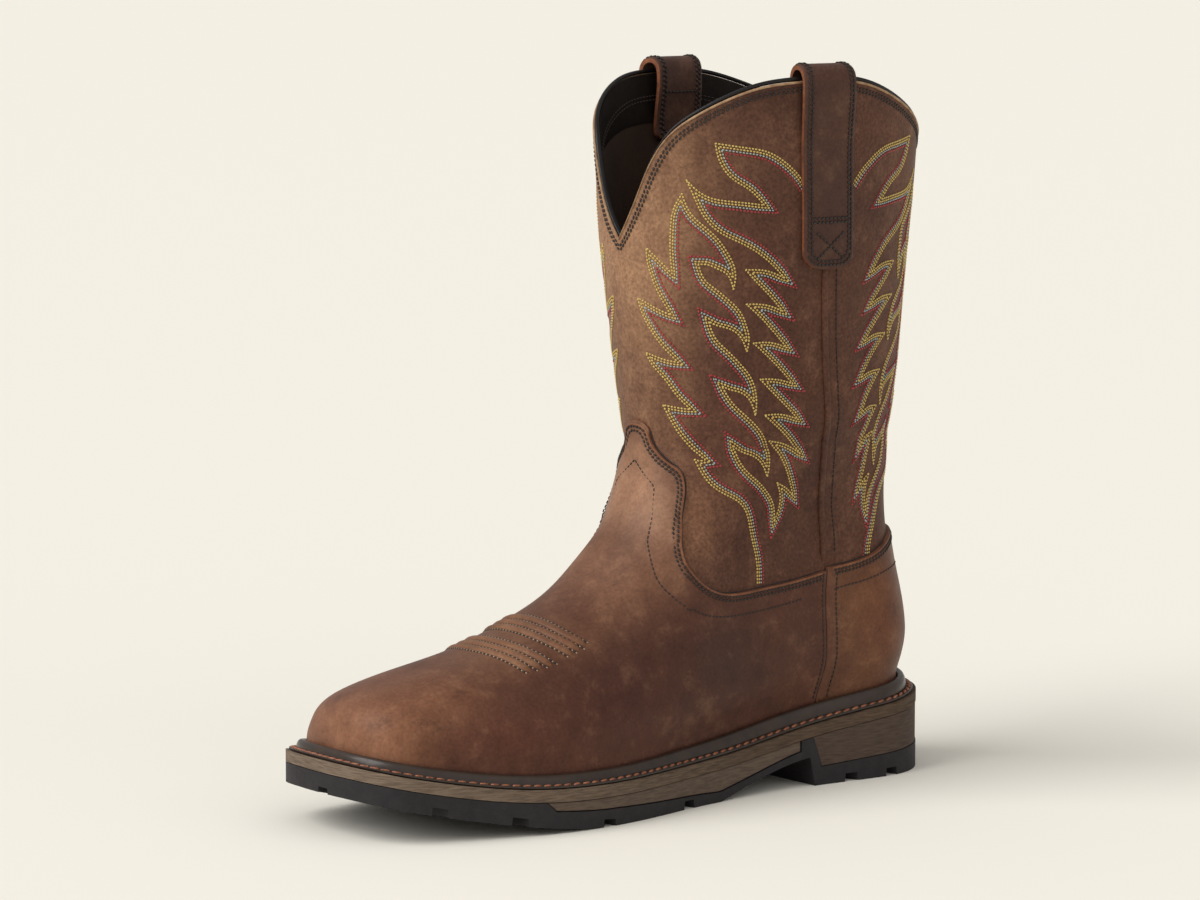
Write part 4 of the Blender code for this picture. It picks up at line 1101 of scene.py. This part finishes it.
def between(start, end):
    """Places from start to end, taken from one shared row so that neighbouring layers bend alike."""
    shared = np.linspace(-0.01, LENGTH + 0.01, 150)
    low, high = min(start, end), max(start, end)
    inside = shared[(shared > low + 5e-4) & (shared < high - 5e-4)]
    found = np.r_[low, inside, high]
    return found if start < end else found[::-1]


def grooves():
    """The tread's edge notches and the notch under the toe, as one cutter."""
    points, faces = [], []
    quads = [(0, 1, 2, 3), (7, 6, 5, 4)] + [(k, k + 4, (k + 1) % 4 + 4, (k + 1) % 4) for k in range(4)]
    profile = ((-0.75, -0.01), (0.75, -0.01), (0.5, GROOVE_DEPTH), (-0.5, GROOVE_DEPTH))
    for place in GROOVE_PLACES:
        s = place * LENGTH
        floor = float(tread_at(s))
        slope = float(tread_at(s + 0.001) - tread_at(s - 0.001)) / 0.002
        for side in (1, -1):
            base = len(points)
            for across, lean in ((CENTRE_RIB / 2, 0.0), (BALL_WIDTH, GROOVE_SLANT)):
                middle = s - lean * (across - CENTRE_RIB / 2)
                for along, rise in profile:
                    at = middle + along * GROOVE_WIDTH
                    points.append((side * across, LENGTH / 2 - at, floor + rise + slope * (at - s)))
            faces += [[base + k for k in quad] for quad in quads]
    base = len(points)
    for reach in (LENGTH - TOE_NOTCH_REACH, LENGTH + 0.01):
        floor = float(tread_at(reach))
        for along, rise in profile:
            points.append((along * GROOVE_WIDTH, LENGTH / 2 - reach, floor + rise))
    faces += [[base + k for k in quad] for quad in quads]
    return face_out(bare("grooves", points, faces, [rubber]), join=False)


def sole():
    s = between(-0.01, LENGTH + 0.01)
    profile = np.vstack([np.column_stack([s, seat_at(s)]), np.column_stack([s[::-1], midsole_low(s[::-1])])])
    sole_layer("midsole_edge", "midsole", 0.0, profile, stack)
    start = HEEL_LENGTH + BREAST_WALL
    s = between(start, PANEL_FRONT)
    low = np.column_stack([s, panel_low(s) + GAP])
    s = between(PANEL_FRONT + PANEL_SLOPE, start)
    top = np.column_stack([s, midsole_low(s) - GAP])
    sole_layer("side_panel", "sole_panel", PANEL_RECESS, np.vstack([low, top]), panel_brown)
    front = HEEL_LENGTH - 0.4 * BREAST_WALL
    s = between(-0.01, front)
    low_s = np.array([front - BREAST_SLOPE, -0.01])
    top = np.column_stack([s, midsole_low(s) - GAP])
    low = np.column_stack([low_s, lift_at(low_s) + GAP])
    sole_layer("heel_stack", "heel_block", PANEL_RECESS / 2, np.vstack([top, low]), block)
    ball = TREAD_START * LENGTH
    under = [(-0.01, 0.004), (0.0025, 0.0022), (0.0075, 0.0), (HEEL_LENGTH - 0.6 * BREAST_SLOPE, 0.0)]
    under += [(s, float(waist_at(s))) for s in between(HEEL_LENGTH, ball)[:-1]]
    under += [(s, float(tread_at(s))) for s in between(ball, LENGTH + 0.01)]
    ahead = between(LENGTH + 0.01, PANEL_FRONT + PANEL_SLOPE + 2 * GAP)
    over = [(s, float(midsole_low(s)) - GAP) for s in ahead]
    over.append((PANEL_FRONT + 1.5 * GAP, float(panel_low(PANEL_FRONT))))
    wall_front = HEEL_LENGTH + BREAST_WALL - GAP
    wall_back = HEEL_LENGTH - 0.4 * BREAST_WALL + GAP
    over += [(s, float(panel_low(s))) for s in between(PANEL_FRONT, wall_front)[1:]]
    over += [(s, float(midsole_low(s)) - GAP) for s in (wall_front, wall_back)]
    over += [(s, float(lift_at(s))) for s in (wall_back - BREAST_SLOPE, -0.01)]
    sole_layer("rubber_outsole", "outsole", 0.0, under + over, rubber, grooves(), 0.0005)


# Stitches
def stitch_shape(sides):
    """A short thread lying along x: points and faces."""
    points = [(-0.5, 0.0, -0.35)]
    for x, r in ((-0.34, 0.8), (0.0, 1.0), (0.34, 0.8)):
        for t in np.linspace(0, 2 * np.pi, sides, endpoint=False):
            points.append((x, r * math.cos(t), r * math.sin(t)))
    points.append((0.5, 0.0, -0.35))
    faces = []
    for k in range(sides):
        n = (k + 1) % sides
        faces.append((0, 1 + n, 1 + k, 1 + k))
        for ring in (0, 1):
            a, b = 1 + ring * sides, 1 + (ring + 1) * sides
            faces.append((a + k, a + n, b + n, b + k))
        faces.append((1 + 2 * sides + k, 1 + 2 * sides + n, len(points) - 1, len(points) - 1))
    return np.array(points), faces


THREAD_LIFT = 0.3


def threads(name, runs, finish, slot, pitch, length, width, height, sides=5, slant=0.0, shift=0.0):
    """Rows of stitches along runs of (points, normals), as one mesh."""
    shape, shape_faces = stitch_shape(sides)
    places, ways, ups = [], [], []
    for points, normals in runs:
        walk = walked(points)
        if walk[-1] < 0.6 * pitch:
            continue
        count = max(1, int(round(walk[-1] / pitch)))
        at = (np.arange(count) + 0.5 + shift) * walk[-1] / count
        up = read_off(at, walk, normals)
        way = read_off(at + 0.3 * pitch, walk, points) - read_off(at - 0.3 * pitch, walk, points)
        way /= np.linalg.norm(way, axis=1, keepdims=True) + 1e-12
        up /= np.linalg.norm(up, axis=1, keepdims=True)
        places.append(read_off(at, walk, points))
        ways.append(way)
        ups.append(up)
    places, ways, ups = np.concatenate(places), np.concatenate(ways), np.concatenate(ups)
    across = np.cross(ups, ways)
    across /= np.linalg.norm(across, axis=1, keepdims=True)
    turn, hold = math.sin(slant), math.cos(slant)
    ways, across = ways * hold + across * turn, across * hold - ways * turn
    points = places[:, None] + ways[:, None] * (shape[:, 0] * length)[None, :, None]
    points = points + across[:, None] * (shape[:, 1] * width / 2)[None, :, None]
    points = points + ups[:, None] * ((shape[:, 2] * height / 2) + THREAD_LIFT * height)[None, :, None]
    faces = []
    shape_faces = [[c for i, c in enumerate(face) if c not in face[:i]] for face in shape_faces]
    for base in range(0, len(places) * len(shape), len(shape)):
        faces += [[base + c for c in face] for face in shape_faces]
    made = make(name, points.reshape(-1, 3), faces, [finish], sharp=2.5)


CHART_STEP = 0.0005


def dense(curve):
    """Even, close points along smooth pieces joined at corners, (s, z) in mm, and where the corners are."""
    found, corners, last = [], [], np.empty((0, 2))
    for piece in curve:
        rows = np.vstack([last, np.array(piece, float) / 1e3])
        last = rows[-1:]
        walk = walked(rows)
        at = np.linspace(0, walk[-1], max(3, int(walk[-1] / CHART_STEP)))
        if len(rows) > 2:
            points = np.column_stack([spline(walk, rows[:, k])(at) for k in range(2)])
        else:
            points = read_off(at, walk, rows)
        found.append(points[1:] if found else points)
        corners.append(sum(map(len, found)) - 1)
    return np.concatenate(found), corners[:-1]


def parallel(path, corners, distance, turn=1):
    """Runs of the path moved sideways, drawn out to tips at outer corners and cut where they'd cross."""
    if distance == 0:
        return [path]
    flat = np.column_stack([-path[:, 0], path[:, 1]])
    way = np.diff(flat, axis=0)
    way /= np.linalg.norm(way, axis=1, keepdims=True) + 1e-12
    side = np.column_stack([-way[:, 1], way[:, 0]]) * turn
    before, after = np.vstack([side[:1], side]), np.vstack([side, side[-1:]])
    meet = 1 + (before * after).sum(1)
    moved = flat + (before + after) / np.maximum(meet, 0.28)[:, None] * distance
    need = np.full(len(moved), 0.93)
    walk = walked(flat)
    for at in corners:
        w0, w1 = way[max(at - 3, 0)], way[min(at + 3, len(way) - 1)]
        if ((side[at - 1] + side[at]) * (w0 - w1)).sum() < 0 or (w0 * w1).sum() > 0.5:
            continue
        tip_way = (w0 - w1) / np.linalg.norm(w0 - w1)
        reach = min(2.3, 1 / math.sqrt(max((1 + (w0 * w1).sum()) / 2, 1e-4)))
        tip = flat[at] + tip_way * reach * distance
        near = np.nonzero(np.abs(walk - walk[at]) < 1.1 * distance)[0]
        low, high = near[0], near[-1]
        for k in range(low, at + 1):
            moved[k] = moved[low] + (tip - moved[low]) * (k - low) / max(at - low, 1)
        for k in range(at, high + 1):
            moved[k] = tip + (moved[high] - tip) * (k - at) / max(high - at, 1)
        need[low:high + 1] = 0.5
    keep = np.zeros(len(moved), bool)
    for start in range(0, len(moved), 400):
        part = moved[start:start + 400]
        gap = np.sqrt(((part[:, None] - flat[None]) ** 2).sum(-1)).min(1)
        keep[start:start + 400] = gap > abs(distance) * need[start:start + 400]
    moved = np.column_stack([-moved[:, 0], moved[:, 1]])
    runs, current = [], []
    for point, good in zip(moved, keep):
        if good:
            current.append(point)
        elif current:
            runs.append(np.array(current))
            current = []
    if current:
        runs.append(np.array(current))
    return [run for run in runs if len(run) > 2]


# One quarter's flames, charted in mm as (s, z): each row is a smooth piece that goes on from the
# end of the row before, with a point where they meet
FLAMES = (
    ((94, 258), (98, 263), (105, 269), (112, 273), (121, 275), (133, 277)),
    ((132, 272), (130, 267), (126, 262), (120, 258), (113, 251)),
    ((120, 252), (128, 253), (133, 254), (138, 257), (142, 262)),
    ((139, 254), (136, 247), (130, 240), (121, 235), (113, 230), (107, 225), (102, 220)),
    ((111, 223.5), (119, 224)),
    ((115.5, 220), (110, 214.5), (102, 206)),
    ((110, 209), (118, 209.5)),
    ((114, 206), (107.5, 199.5), (99, 190.5)),
    ((107, 193), (114, 193)),
    ((109.5, 189), (103, 183), (95, 175)),
    ((102.5, 177), (110, 177.5)),
    ((106, 173.5), (99, 167), (91, 159.5)),
    ((100, 162), (107, 162)),
    ((102, 158), (94, 151.5), (86, 144)),
    ((95.5, 149), (102.5, 150.5)),
    ((98, 146), (91, 136), (86, 125.5)),
    ((90, 129), (95.5, 132)),
    ((93, 126), (93, 120.5), (95, 115)),
    ((96, 122), (99.5, 127.5), (104.5, 132.5), (110, 137), (114, 141.5), (118, 149.5)),
    ((114, 146.5), (109, 144.5), (105, 141.5), (101, 135)),
    ((101, 141.5), (102.5, 147), (106, 153), (110.5, 158), (116, 163), (120, 167), (125, 175)),
    ((122, 173.5), (117.5, 172), (114, 169), (111, 162)),
    ((111, 168.5), (112, 173.5), (114.5, 179), (118.5, 184), (124, 190), (128.5, 195), (131.5, 202.5)),
    ((129, 201), (124.5, 199.5), (120.5, 197), (116.5, 189.5)),
    ((116, 195), (117.5, 200.5), (120, 206), (124.5, 211), (130, 216), (134, 220), (136.5, 226.5)),
    ((134, 226.5), (130.5, 225), (126.5, 222.5), (123.5, 216)),
    ((123, 221), (124, 226), (126.5, 231), (130, 236.5), (135, 242), (139.5, 247), (143, 256)),
    ((145, 250), (145.5, 242), (145, 231), (144, 222.5)),
    ((147, 227), (150.5, 233)),
    ((150, 228), (149, 222.5), (147, 215), (143, 205)),
    ((146, 207), (150, 211.5)),
    ((149, 206), (147, 199), (144, 192), (139.5, 185)),
    ((143, 186), (146.5, 188.5)),
    ((145, 183.5), (142, 177.5), (138.5, 170.5), (134.5, 165)),
    ((138, 165.5), (141.5, 166.5)),
    ((140, 162), (137, 155), (133, 149), (128, 143.5)),
    ((129.5, 143), (131.5, 143.5)),
    ((129.5, 138.5), (126, 133), (120, 128.5), (114, 125), (110, 120), (108, 114), (106, 107),
     (104, 99), (104, 89)),
)
# Rows of the flames: colour, thread, places in row gaps, then the stitches' pitch, length, width and height
ROW_GAP = 0.0011
FLAME_ROWS = (
    ("yellow", yellow_thread, (0.0, 1.0), (0.00145, 0.00115, 0.00088, 0.00058)),
    ("blue", blue_thread, (1.95,), (0.00145, 0.00100, 0.00075, 0.00050)),
    ("red", red_thread, (2.95,), (0.00155, 0.00112, 0.00092, 0.00056)),
)
# Where the quarter behind the strap lies: z, s of its middle and its width as a share of the front quarter's
BACK_PANEL = (
    (88, 45, 0.50), (99, 44.5, 0.50), (112, 42, 0.55), (127, 41.5, 0.66),
    (147, 46, 0.62), (161, 52.5, 0.72), (176, 56.5, 0.90), (191, 59.5, 1.02),
    (207, 60, 1.02), (222, 61.5, 1.02), (235, 66, 1.00), (251, 68, 1.00),
    (275, 68.5, 1.05),
)


# Behind the strap, what lies further than this past the chart's middle is drawn in to a share of itself,
# and that fades out between these heights, in mm
CHART_MIDDLE = 95
DRAWN_FROM = 32
DRAWN_SHARE = 0.4
DRAWN_HEIGHTS = (222, 252)


def behind_strap(piece, middle, share):
    """A piece of the chart moved to the quarter behind the strap, drawn in where it nears the back line."""
    found = []
    for s, z in piece:
        away = s - CHART_MIDDLE
        drawn = DRAWN_SHARE + (1 - DRAWN_SHARE) * float(smooth_step(z, *DRAWN_HEIGHTS))
        near = min(away, DRAWN_FROM) + drawn * max(away - DRAWN_FROM, 0)
        found.append((float(middle(z) - share(z) * near), z))
    return found


SPREAD_Z = np.linspace(0.07, 0.302, 30)
SPREAD_S = np.linspace(0.0, 0.175, 351)


def spread_table(side):
    """Distance along the leather from the middle of the shaft, level by level."""
    s, z = np.meshgrid(SPREAD_S, SPREAD_Z)
    slope = np.gradient(half_width(side, s, z), SPREAD_S, axis=1)
    walk = np.cumsum(np.sqrt(1 + np.minimum(np.abs(slope), 6.0) ** 2), axis=1) * (SPREAD_S[1] - SPREAD_S[0])
    middle = np.searchsorted(SPREAD_S, CHART_MIDDLE / 1e3)
    return walk - walk[:, middle:middle + 1]


def level_row(table, z):
    level = np.interp(z, SPREAD_Z, np.arange(len(SPREAD_Z)))
    low = min(int(level), len(SPREAD_Z) - 2)
    return table[low] + (table[low + 1] - table[low]) * (level - low)


def flame_runs(side, distance, behind):
    """One row of the flames on a side: the front quarter, or the narrower quarter behind the strap."""
    curve, turn = FLAMES, 1
    if behind:
        height = column(BACK_PANEL, 0)
        middle = spline(height, column(BACK_PANEL, 1))
        share = spline(height, column(BACK_PANEL, 2))
        curve = [behind_strap(piece, middle, share) for piece in FLAMES]
        turn = -1
    path, corners = dense(curve)
    table = spread_table(side)
    flat = path.copy()
    for k, (s, z) in enumerate(path):
        flat[k, 0] = np.interp(s, SPREAD_S, level_row(table, z))
    found = []
    for run in parallel(flat, corners, distance, turn):
        s = np.array([np.interp(u, level_row(table, z), SPREAD_S) for u, z in run])
        found.append(on_side(side, s, run[:, 1], 0.0))
    return found


def flames():
    for side, word in SIDES:
        for behind, where in ((False, "front"), (True, "back")):
            for colour, thread, places, sizes in FLAME_ROWS:
                runs = [run for place in places for run in flame_runs(side, place * ROW_GAP, behind)]
                threads("flame_" + colour + "_" + word + "_" + where, runs, thread, "upper", *sizes)


def slide(phi, v, distance):
    """A line on the skin moved sideways along the surface by a distance, upwards where it's positive."""
    line = (phi, v)
    for _ in range(3):
        point = skin(phi, v)
        along = np.gradient(point, axis=0)
        across = np.cross(facing(phi, v), along)
        across *= distance / 3 / (np.linalg.norm(across, axis=1, keepdims=True) + 1e-12)
        turn, low, high = 0.01, np.maximum(v - 0.003, 0), np.minimum(v + 0.003, 1)
        by_phi = (skin(phi + turn, v) - skin(phi - turn, v)) / (2 * turn)
        by_v = (skin(phi, high) - skin(phi, low)) / (high - low)[:, None]
        a, b, c = (by_phi**2).sum(1), (by_phi * by_v).sum(1), (by_v**2).sum(1)
        d, e = (by_phi * across).sum(1), (by_v * across).sum(1)
        scale = a * c - b * b
        phi, v = phi + (d * c - e * b) / scale, np.clip(v + (a * e - b * d) / scale, 0, 1)
    first = np.gradient(skin(*line), axis=0)
    good = (np.gradient(skin(phi, v), axis=0) * first).sum(1) > 0.45 * (first**2).sum(1)
    phi, v = phi[good], v[good]
    for values in (phi, v):
        for _ in range(7):
            values[1:-1] = (values[:-2] + 2 * values[1:-1] + values[2:]) / 4
    return phi, v


def laid(phi, v, offset):
    """Points and outward directions of a line on the skin."""
    return skin_off(phi, v, np.full(np.shape(phi), offset)), facing(phi, v)


def vamp_line():
    """The vamp's top edge as one line, from the inner seam over the instep to the outer seam."""
    s, z = vamp_edge(150)
    phi_a, v_a = find(1, s, z)
    phi_b, v_b = find(-1, s, z)
    phi_a[0] = phi_b[0] = 0.0
    return np.r_[phi_b[:0:-1], phi_a], np.r_[v_b[:0:-1], v_a]


def counter_line():
    """The counter's top edge as one line, from the outer seam round the back to the inner seam."""
    s, z = counter_edge(50)
    phi_a, v_a = find(1, s, z)
    phi_b, v_b = find(-1, s, z)
    phi_a[-1], phi_b[-1] = np.pi, -np.pi
    return np.r_[phi_a, phi_b[-2::-1] + 2 * np.pi], np.r_[v_a, v_b[-2::-1]]


# The single stitched line low on the vamp, by angle and share of the way up, and its way over the counter
INNER_LINE = (
    (0.00, 0.612), (0.11, 0.598), (0.23, 0.584), (0.28, 0.568), (0.36, 0.543),
    (0.43, 0.519), (0.49, 0.502), (0.64, 0.470), (0.86, 0.423), (1.08, 0.378),
    (1.33, 0.322), (1.55, 0.281), (1.79, 0.265), (2.00, 0.262),
)
COUNTER_LINE = ((63.0, 83.0), (57.0, 84.0), (45.0, 85.5), (33.0, 88.0), (20.0, 90.0))
TOP = GAP + OVERLAY
EDGE_STITCHES = (0.0015, 0.0029)


def seams():
    """Stitch rows, rims and shadow lines of the vamp and counter, the band behind each side seam and a black
    strip of painted shade in the gap at each side seam.
    """
    bold, fine = [], []
    for side in (1, -1):
        z = np.linspace(0.099, SHAFT_HEIGHT - STRAP_OUTSIDE + 0.004, 90)
        fine.append(on_side(side, seam_at(z) - 0.0052, z, 0.0001))
        z = np.linspace(0.036, 0.0905, 50)
        fine.append(on_side(side, seam_at(z) + 0.0018, z, TOP))
        fine.append(on_side(side, seam_at(z) - 0.0058, z, TOP))
        rows = np.array(INNER_LINE)
        share = np.linspace(0, len(rows) - 1, 260)
        places = np.arange(len(rows))
        fine.append(laid(side * spline(places, rows[:, 0])(share), spline(places, rows[:, 1])(share), TOP))
        rows = np.array(COUNTER_LINE) / 1e3
        s = np.linspace(rows[0, 0], rows[-1, 0], 60)
        fine.append(on_skin(side, s, spline(-rows[:, 0], rows[:, 1])(-s), TOP))
    rims, shades = [], []
    for phi, v in (vamp_line(), counter_line()):
        for distance in EDGE_STITCHES:
            a, b = slide(phi, v, -distance)
            bold.append(laid(a[3:-3], b[3:-3], TOP))
        a, b = slide(phi, v, -0.0005)
        rims.append(laid(a[2:-2], b[2:-2], TOP))
        a, b = slide(phi, v, 0.0004)
        shades.append(laid(a[2:-2], b[2:-2], 0.0))
    ridge("edge_rim", rims, 0.0010, 0.00024, vamp_leather, -0.0001, tones=((138, 94, 68), ()))
    ridge("edge_shadow", shades, 0.0007, 0.00045, black_thread, 0.0)
    threads("edge_stitches", bold, black_thread, "upper", 0.0020, 0.00176, 0.00100, 0.00064, slant=0.35)
    threads("seam_stitches", fine, black_thread, "upper", 0.0021, 0.0018, 0.00072, 0.00048)
    gaps, bands = [], []
    for side in (1, -1):
        z = np.linspace(0.034, 0.0925, 60)
        gaps.append(on_side(side, seam_at(z) - 0.0001, z, GAP))
        bands.append(on_side(side, seam_at(z) - 0.0028, z, TOP))
    # A black strip laid in the gap at each side seam: painted shade where the gap's shadow falls.
    ridge("seam_gap_shade", gaps, 0.0009, OVERLAY - 0.0001, black_thread, 0.0)
    made = ridge("seam_band", bands, 0.0048, 0.00045, vamp_leather, -0.0001, tones=((110, 74, 54), ()))


def collar_stitches():
    phi = np.linspace(-np.pi, np.pi, 900)
    runs = []
    for depth in (0.0024, 0.0038):
        runs.append(laid(*slide(phi, np.ones_like(phi), -depth), 0.0))
    threads("collar_stitches", runs, black_thread, "upper", 0.0021, 0.0018, 0.00105, 0.00070, slant=0.3)
    runs = []
    for depth in (0.0095, 0.0112):
        a, b = slide(phi, np.ones_like(phi), -depth)
        points, normals = skin_off(a, b, np.full_like(a, -WALL - 0.0007)), facing(a, b)
        runs.append((points, -normals))
    threads("inner_collar_stitches", runs, dark_thread, "collar_binding", 0.0021, 0.0017, 0.00070, 0.00045)


def strap_leg(side, shift, z, inside=False):
    """Points and outward directions on the face of a strap's leg."""
    top = SHAFT_HEIGHT + GAP
    if inside:
        off = -WALL - GAP - STRAP_THICKNESS - STRAP_BOW_IN * smooth_step(z, top - 0.9 * STRAP_INSIDE, top)
    else:
        off = GAP + STRAP_THICKNESS + STRAP_BOW_OUT * smooth_step(z, top - 0.4 * STRAP_OUTSIDE, top)
    points, normals = on_side(side, strap_centre(z) + shift, z, off, False)
    return points, -normals if inside else normals


# The crossed box at the foot of a strap's outer leg: shifts at both ends of a row, then its heights there
STRAP_CROSS = (
    (0.0072, -0.0072, 0.2275, 0.2390),
    (-0.0072, 0.0072, 0.2275, 0.2390),
    (0.0092, -0.0092, 0.2432, 0.2432),
    (0.0092, -0.0092, 0.2449, 0.2449),
)


def strap_stitches():
    """Two rows round each strap, the crossed box outside and one row inside."""
    runs = []
    top = SHAFT_HEIGHT + GAP
    for side in (1, -1):
        for inset in (0.0019, 0.0035):
            reach = STRAP_WIDTH / 2 - inset
            for shift in (-reach, reach):
                line = strap_path(side, shift, True)[3:-3]
                way = np.gradient(line, axis=0)
                normal = np.cross(way, np.tile([0.0, 1.0, 0.0], (len(line), 1))) * side
                normal /= np.linalg.norm(normal, axis=1, keepdims=True)
                runs.append((line, normal if normal[0, 0] * side > 0 else -normal))
            shift = np.linspace(-reach, reach, 60)
            rise = 0.010 * strap_corner(shift * 0.5 * STRAP_WIDTH / reach * 0.985)
            runs.append(strap_leg(side, shift, top - STRAP_OUTSIDE + inset + rise * 0.8))
            rise = 0.006 * strap_corner(shift * 0.5 * STRAP_WIDTH / reach * 0.985)
            runs.append(strap_leg(side, shift, top - STRAP_INSIDE + inset + rise * 0.8, True))
        t = np.linspace(0, 1, 30)
        for left, right, low, high in STRAP_CROSS:
            runs.append(strap_leg(side, left + (right - left) * t, low + (high - low) * t))
        runs.append(strap_leg(side, 0.0100 - 0.0200 * t, np.full_like(t, top - 0.0085), True))
    sizes = (0.0021, 0.0018, 0.00120, 0.00080)
    threads("strap_stitches", runs, black_thread, "pull_strap_outer", *sizes, slant=0.25)


def welt_stitches():
    plan = outline(WELT_SETBACK + 0.0017)
    plan = np.vstack([plan, plan[:1]])
    line = np.column_stack([plan, seat_of(plan) + WELT_LEDGE - 0.0004])
    up = np.tile([0.0, 0.0, 1.0], (len(line), 1))
    sizes = (0.0047, 0.0046, 0.00160, 0.00125)
    threads("welt_stitches", [(line, up)], welt_thread, "welt", *sizes, sides=7, slant=0.32)


# Ridges and stitch rows across the vamp: share of the way up at the front line and reach round each side
TOE_BANDS = (
    (0.3718, 0.90), (0.3613, 0.91), (0.3505, 0.90), (0.3235, 0.88), (0.3125, 0.84),
    (0.3022, 0.81),
)
TOE_ROWS = (
    (0.3770, 0.89), (0.3665, 0.93), (0.3560, 0.92), (0.3450, 0.90), (0.3290, 0.90),
    (0.3178, 0.87), (0.3075, 0.84), (0.2970, 0.80),
)


# Places in the valley between the two groups of ridges, where strips of painted shade are laid
TOE_VALLEYS = ((0.3392, 0.88), (0.3345, 0.88))
TOE_DROOP = 0.108
TOE_TONES = ((136, 98, 72), ())


def toe_line(row, lift):
    """A line across the vamp that sinks to both sides."""
    middle, reach = row
    phi = np.linspace(-reach, reach, 70)
    return laid(phi, middle - TOE_DROOP * phi**2, TOP + lift)


def toe_ridges():
    bands = [toe_line(row, 0.0) for row in TOE_BANDS]
    made = ridge("toe_ridges", bands, 0.0038, 0.0014, vamp_leather, -0.0001, TOE_TONES)
    # Dark strips along the stitch rows and in the valley between the groups of ridges: painted shade in the
    # hollows between the ridges.
    valley_shades = [toe_line(row, 0.0) for row in TOE_ROWS + TOE_VALLEYS]
    ridge("toe_valley_shade", valley_shades, 0.0016, 0.00012, dark_thread, 0.0)
    rows = [toe_line(row, 0.0001) for row in TOE_ROWS]
    threads("toe_stitches", rows, black_thread, "vamp", 0.0021, 0.0013, 0.00105, 0.00070)
    # Pale dots half a stitch along each row: painted highlights on the dark stitches.
    threads("toe_stitch_highlight_dots", rows, toe_highlight_paint, "vamp", 0.0021, 0.0008, 0.00060, 0.00060, shift=0.5)


upper()
vamp()
counter()
pipings()
straps()
collar()
welt()
insole()
sole()
flames()
seams()
collar_stitches()
strap_stitches()
welt_stitches()
toe_ridges()


# Floor, light and camera
FLOOR_REACH = 40.0
FLOOR_COLOUR = (249, 245, 234)
CAMERA_TURN = math.radians(52.4)
CAMERA_TILT = math.radians(6.5)
CAMERA_DISTANCE = 2.0
CAMERA_LENS = 142.5
CAMERA_TARGET = (0.0, 0.0, 0.160)
AIM_LEFT = 0.00884
AIM_DOWN = 0.01305


def stage_plane():
    paint, _, shader = shader_of("floor_paint", 0.9, Specular_IOR_Level=0.1)
    shader.inputs["Base Color"].default_value = (*linear(FLOOR_COLOUR), 1)
    corners = [(x * FLOOR_REACH, y * FLOOR_REACH, 0) for x, y in ((-1, -1), (1, -1), (1, 1), (-1, 1))]
    floor = bare("floor", corners, [(0, 1, 2, 3)], [paint])


def sun(name, way, strength, softness):
    """Even light from a direction, given as where it comes from."""
    data = bpy.data.lights.new(name, "SUN")
    data.energy = strength
    data.angle = math.radians(softness)
    made = bpy.data.objects.new(name, data)
    way = np.array(way, float)
    point_at(made, way, -way)
    bpy.context.scene.collection.objects.link(made)


def point_at(made, place, way):
    made.location = Vector(place.tolist())
    made.rotation_euler = Vector(way.tolist()).to_track_quat("-Z", "Y").to_euler()


def camera():
    across, high = math.cos(CAMERA_TILT), math.sin(CAMERA_TILT)
    back = np.array([math.sin(CAMERA_TURN) * across, -math.cos(CAMERA_TURN) * across, high])
    right = np.array([math.cos(CAMERA_TURN), math.sin(CAMERA_TURN), 0.0])
    up = np.cross(back, right)
    target = np.array(CAMERA_TARGET)
    place = target + CAMERA_DISTANCE * back
    aim = target - AIM_LEFT * right - AIM_DOWN * up
    data = bpy.data.cameras.new("camera")
    data.lens = CAMERA_LENS
    data.sensor_width = 36.0
    data.clip_end = 200.0
    made = bpy.data.objects.new("camera", data)
    point_at(made, place, aim - place)
    bpy.context.scene.collection.objects.link(made)
    bpy.context.scene.camera = made


stage_plane()
camera()
sun("key", (-0.20, -0.99, 0.85), 2.25, 50)
sun("fill", (0.95, -0.20, 0.55), 0.55, 90)
world = bpy.data.worlds.new("sky")
bpy.context.scene.world = world
bpy.context.scene.view_settings.view_transform = "Standard"
world.use_nodes = True
world.node_tree.nodes["Background"].inputs[0].default_value = (*linear((248, 246, 243)), 1)
world.node_tree.nodes["Background"].inputs[1].default_value = 0.45
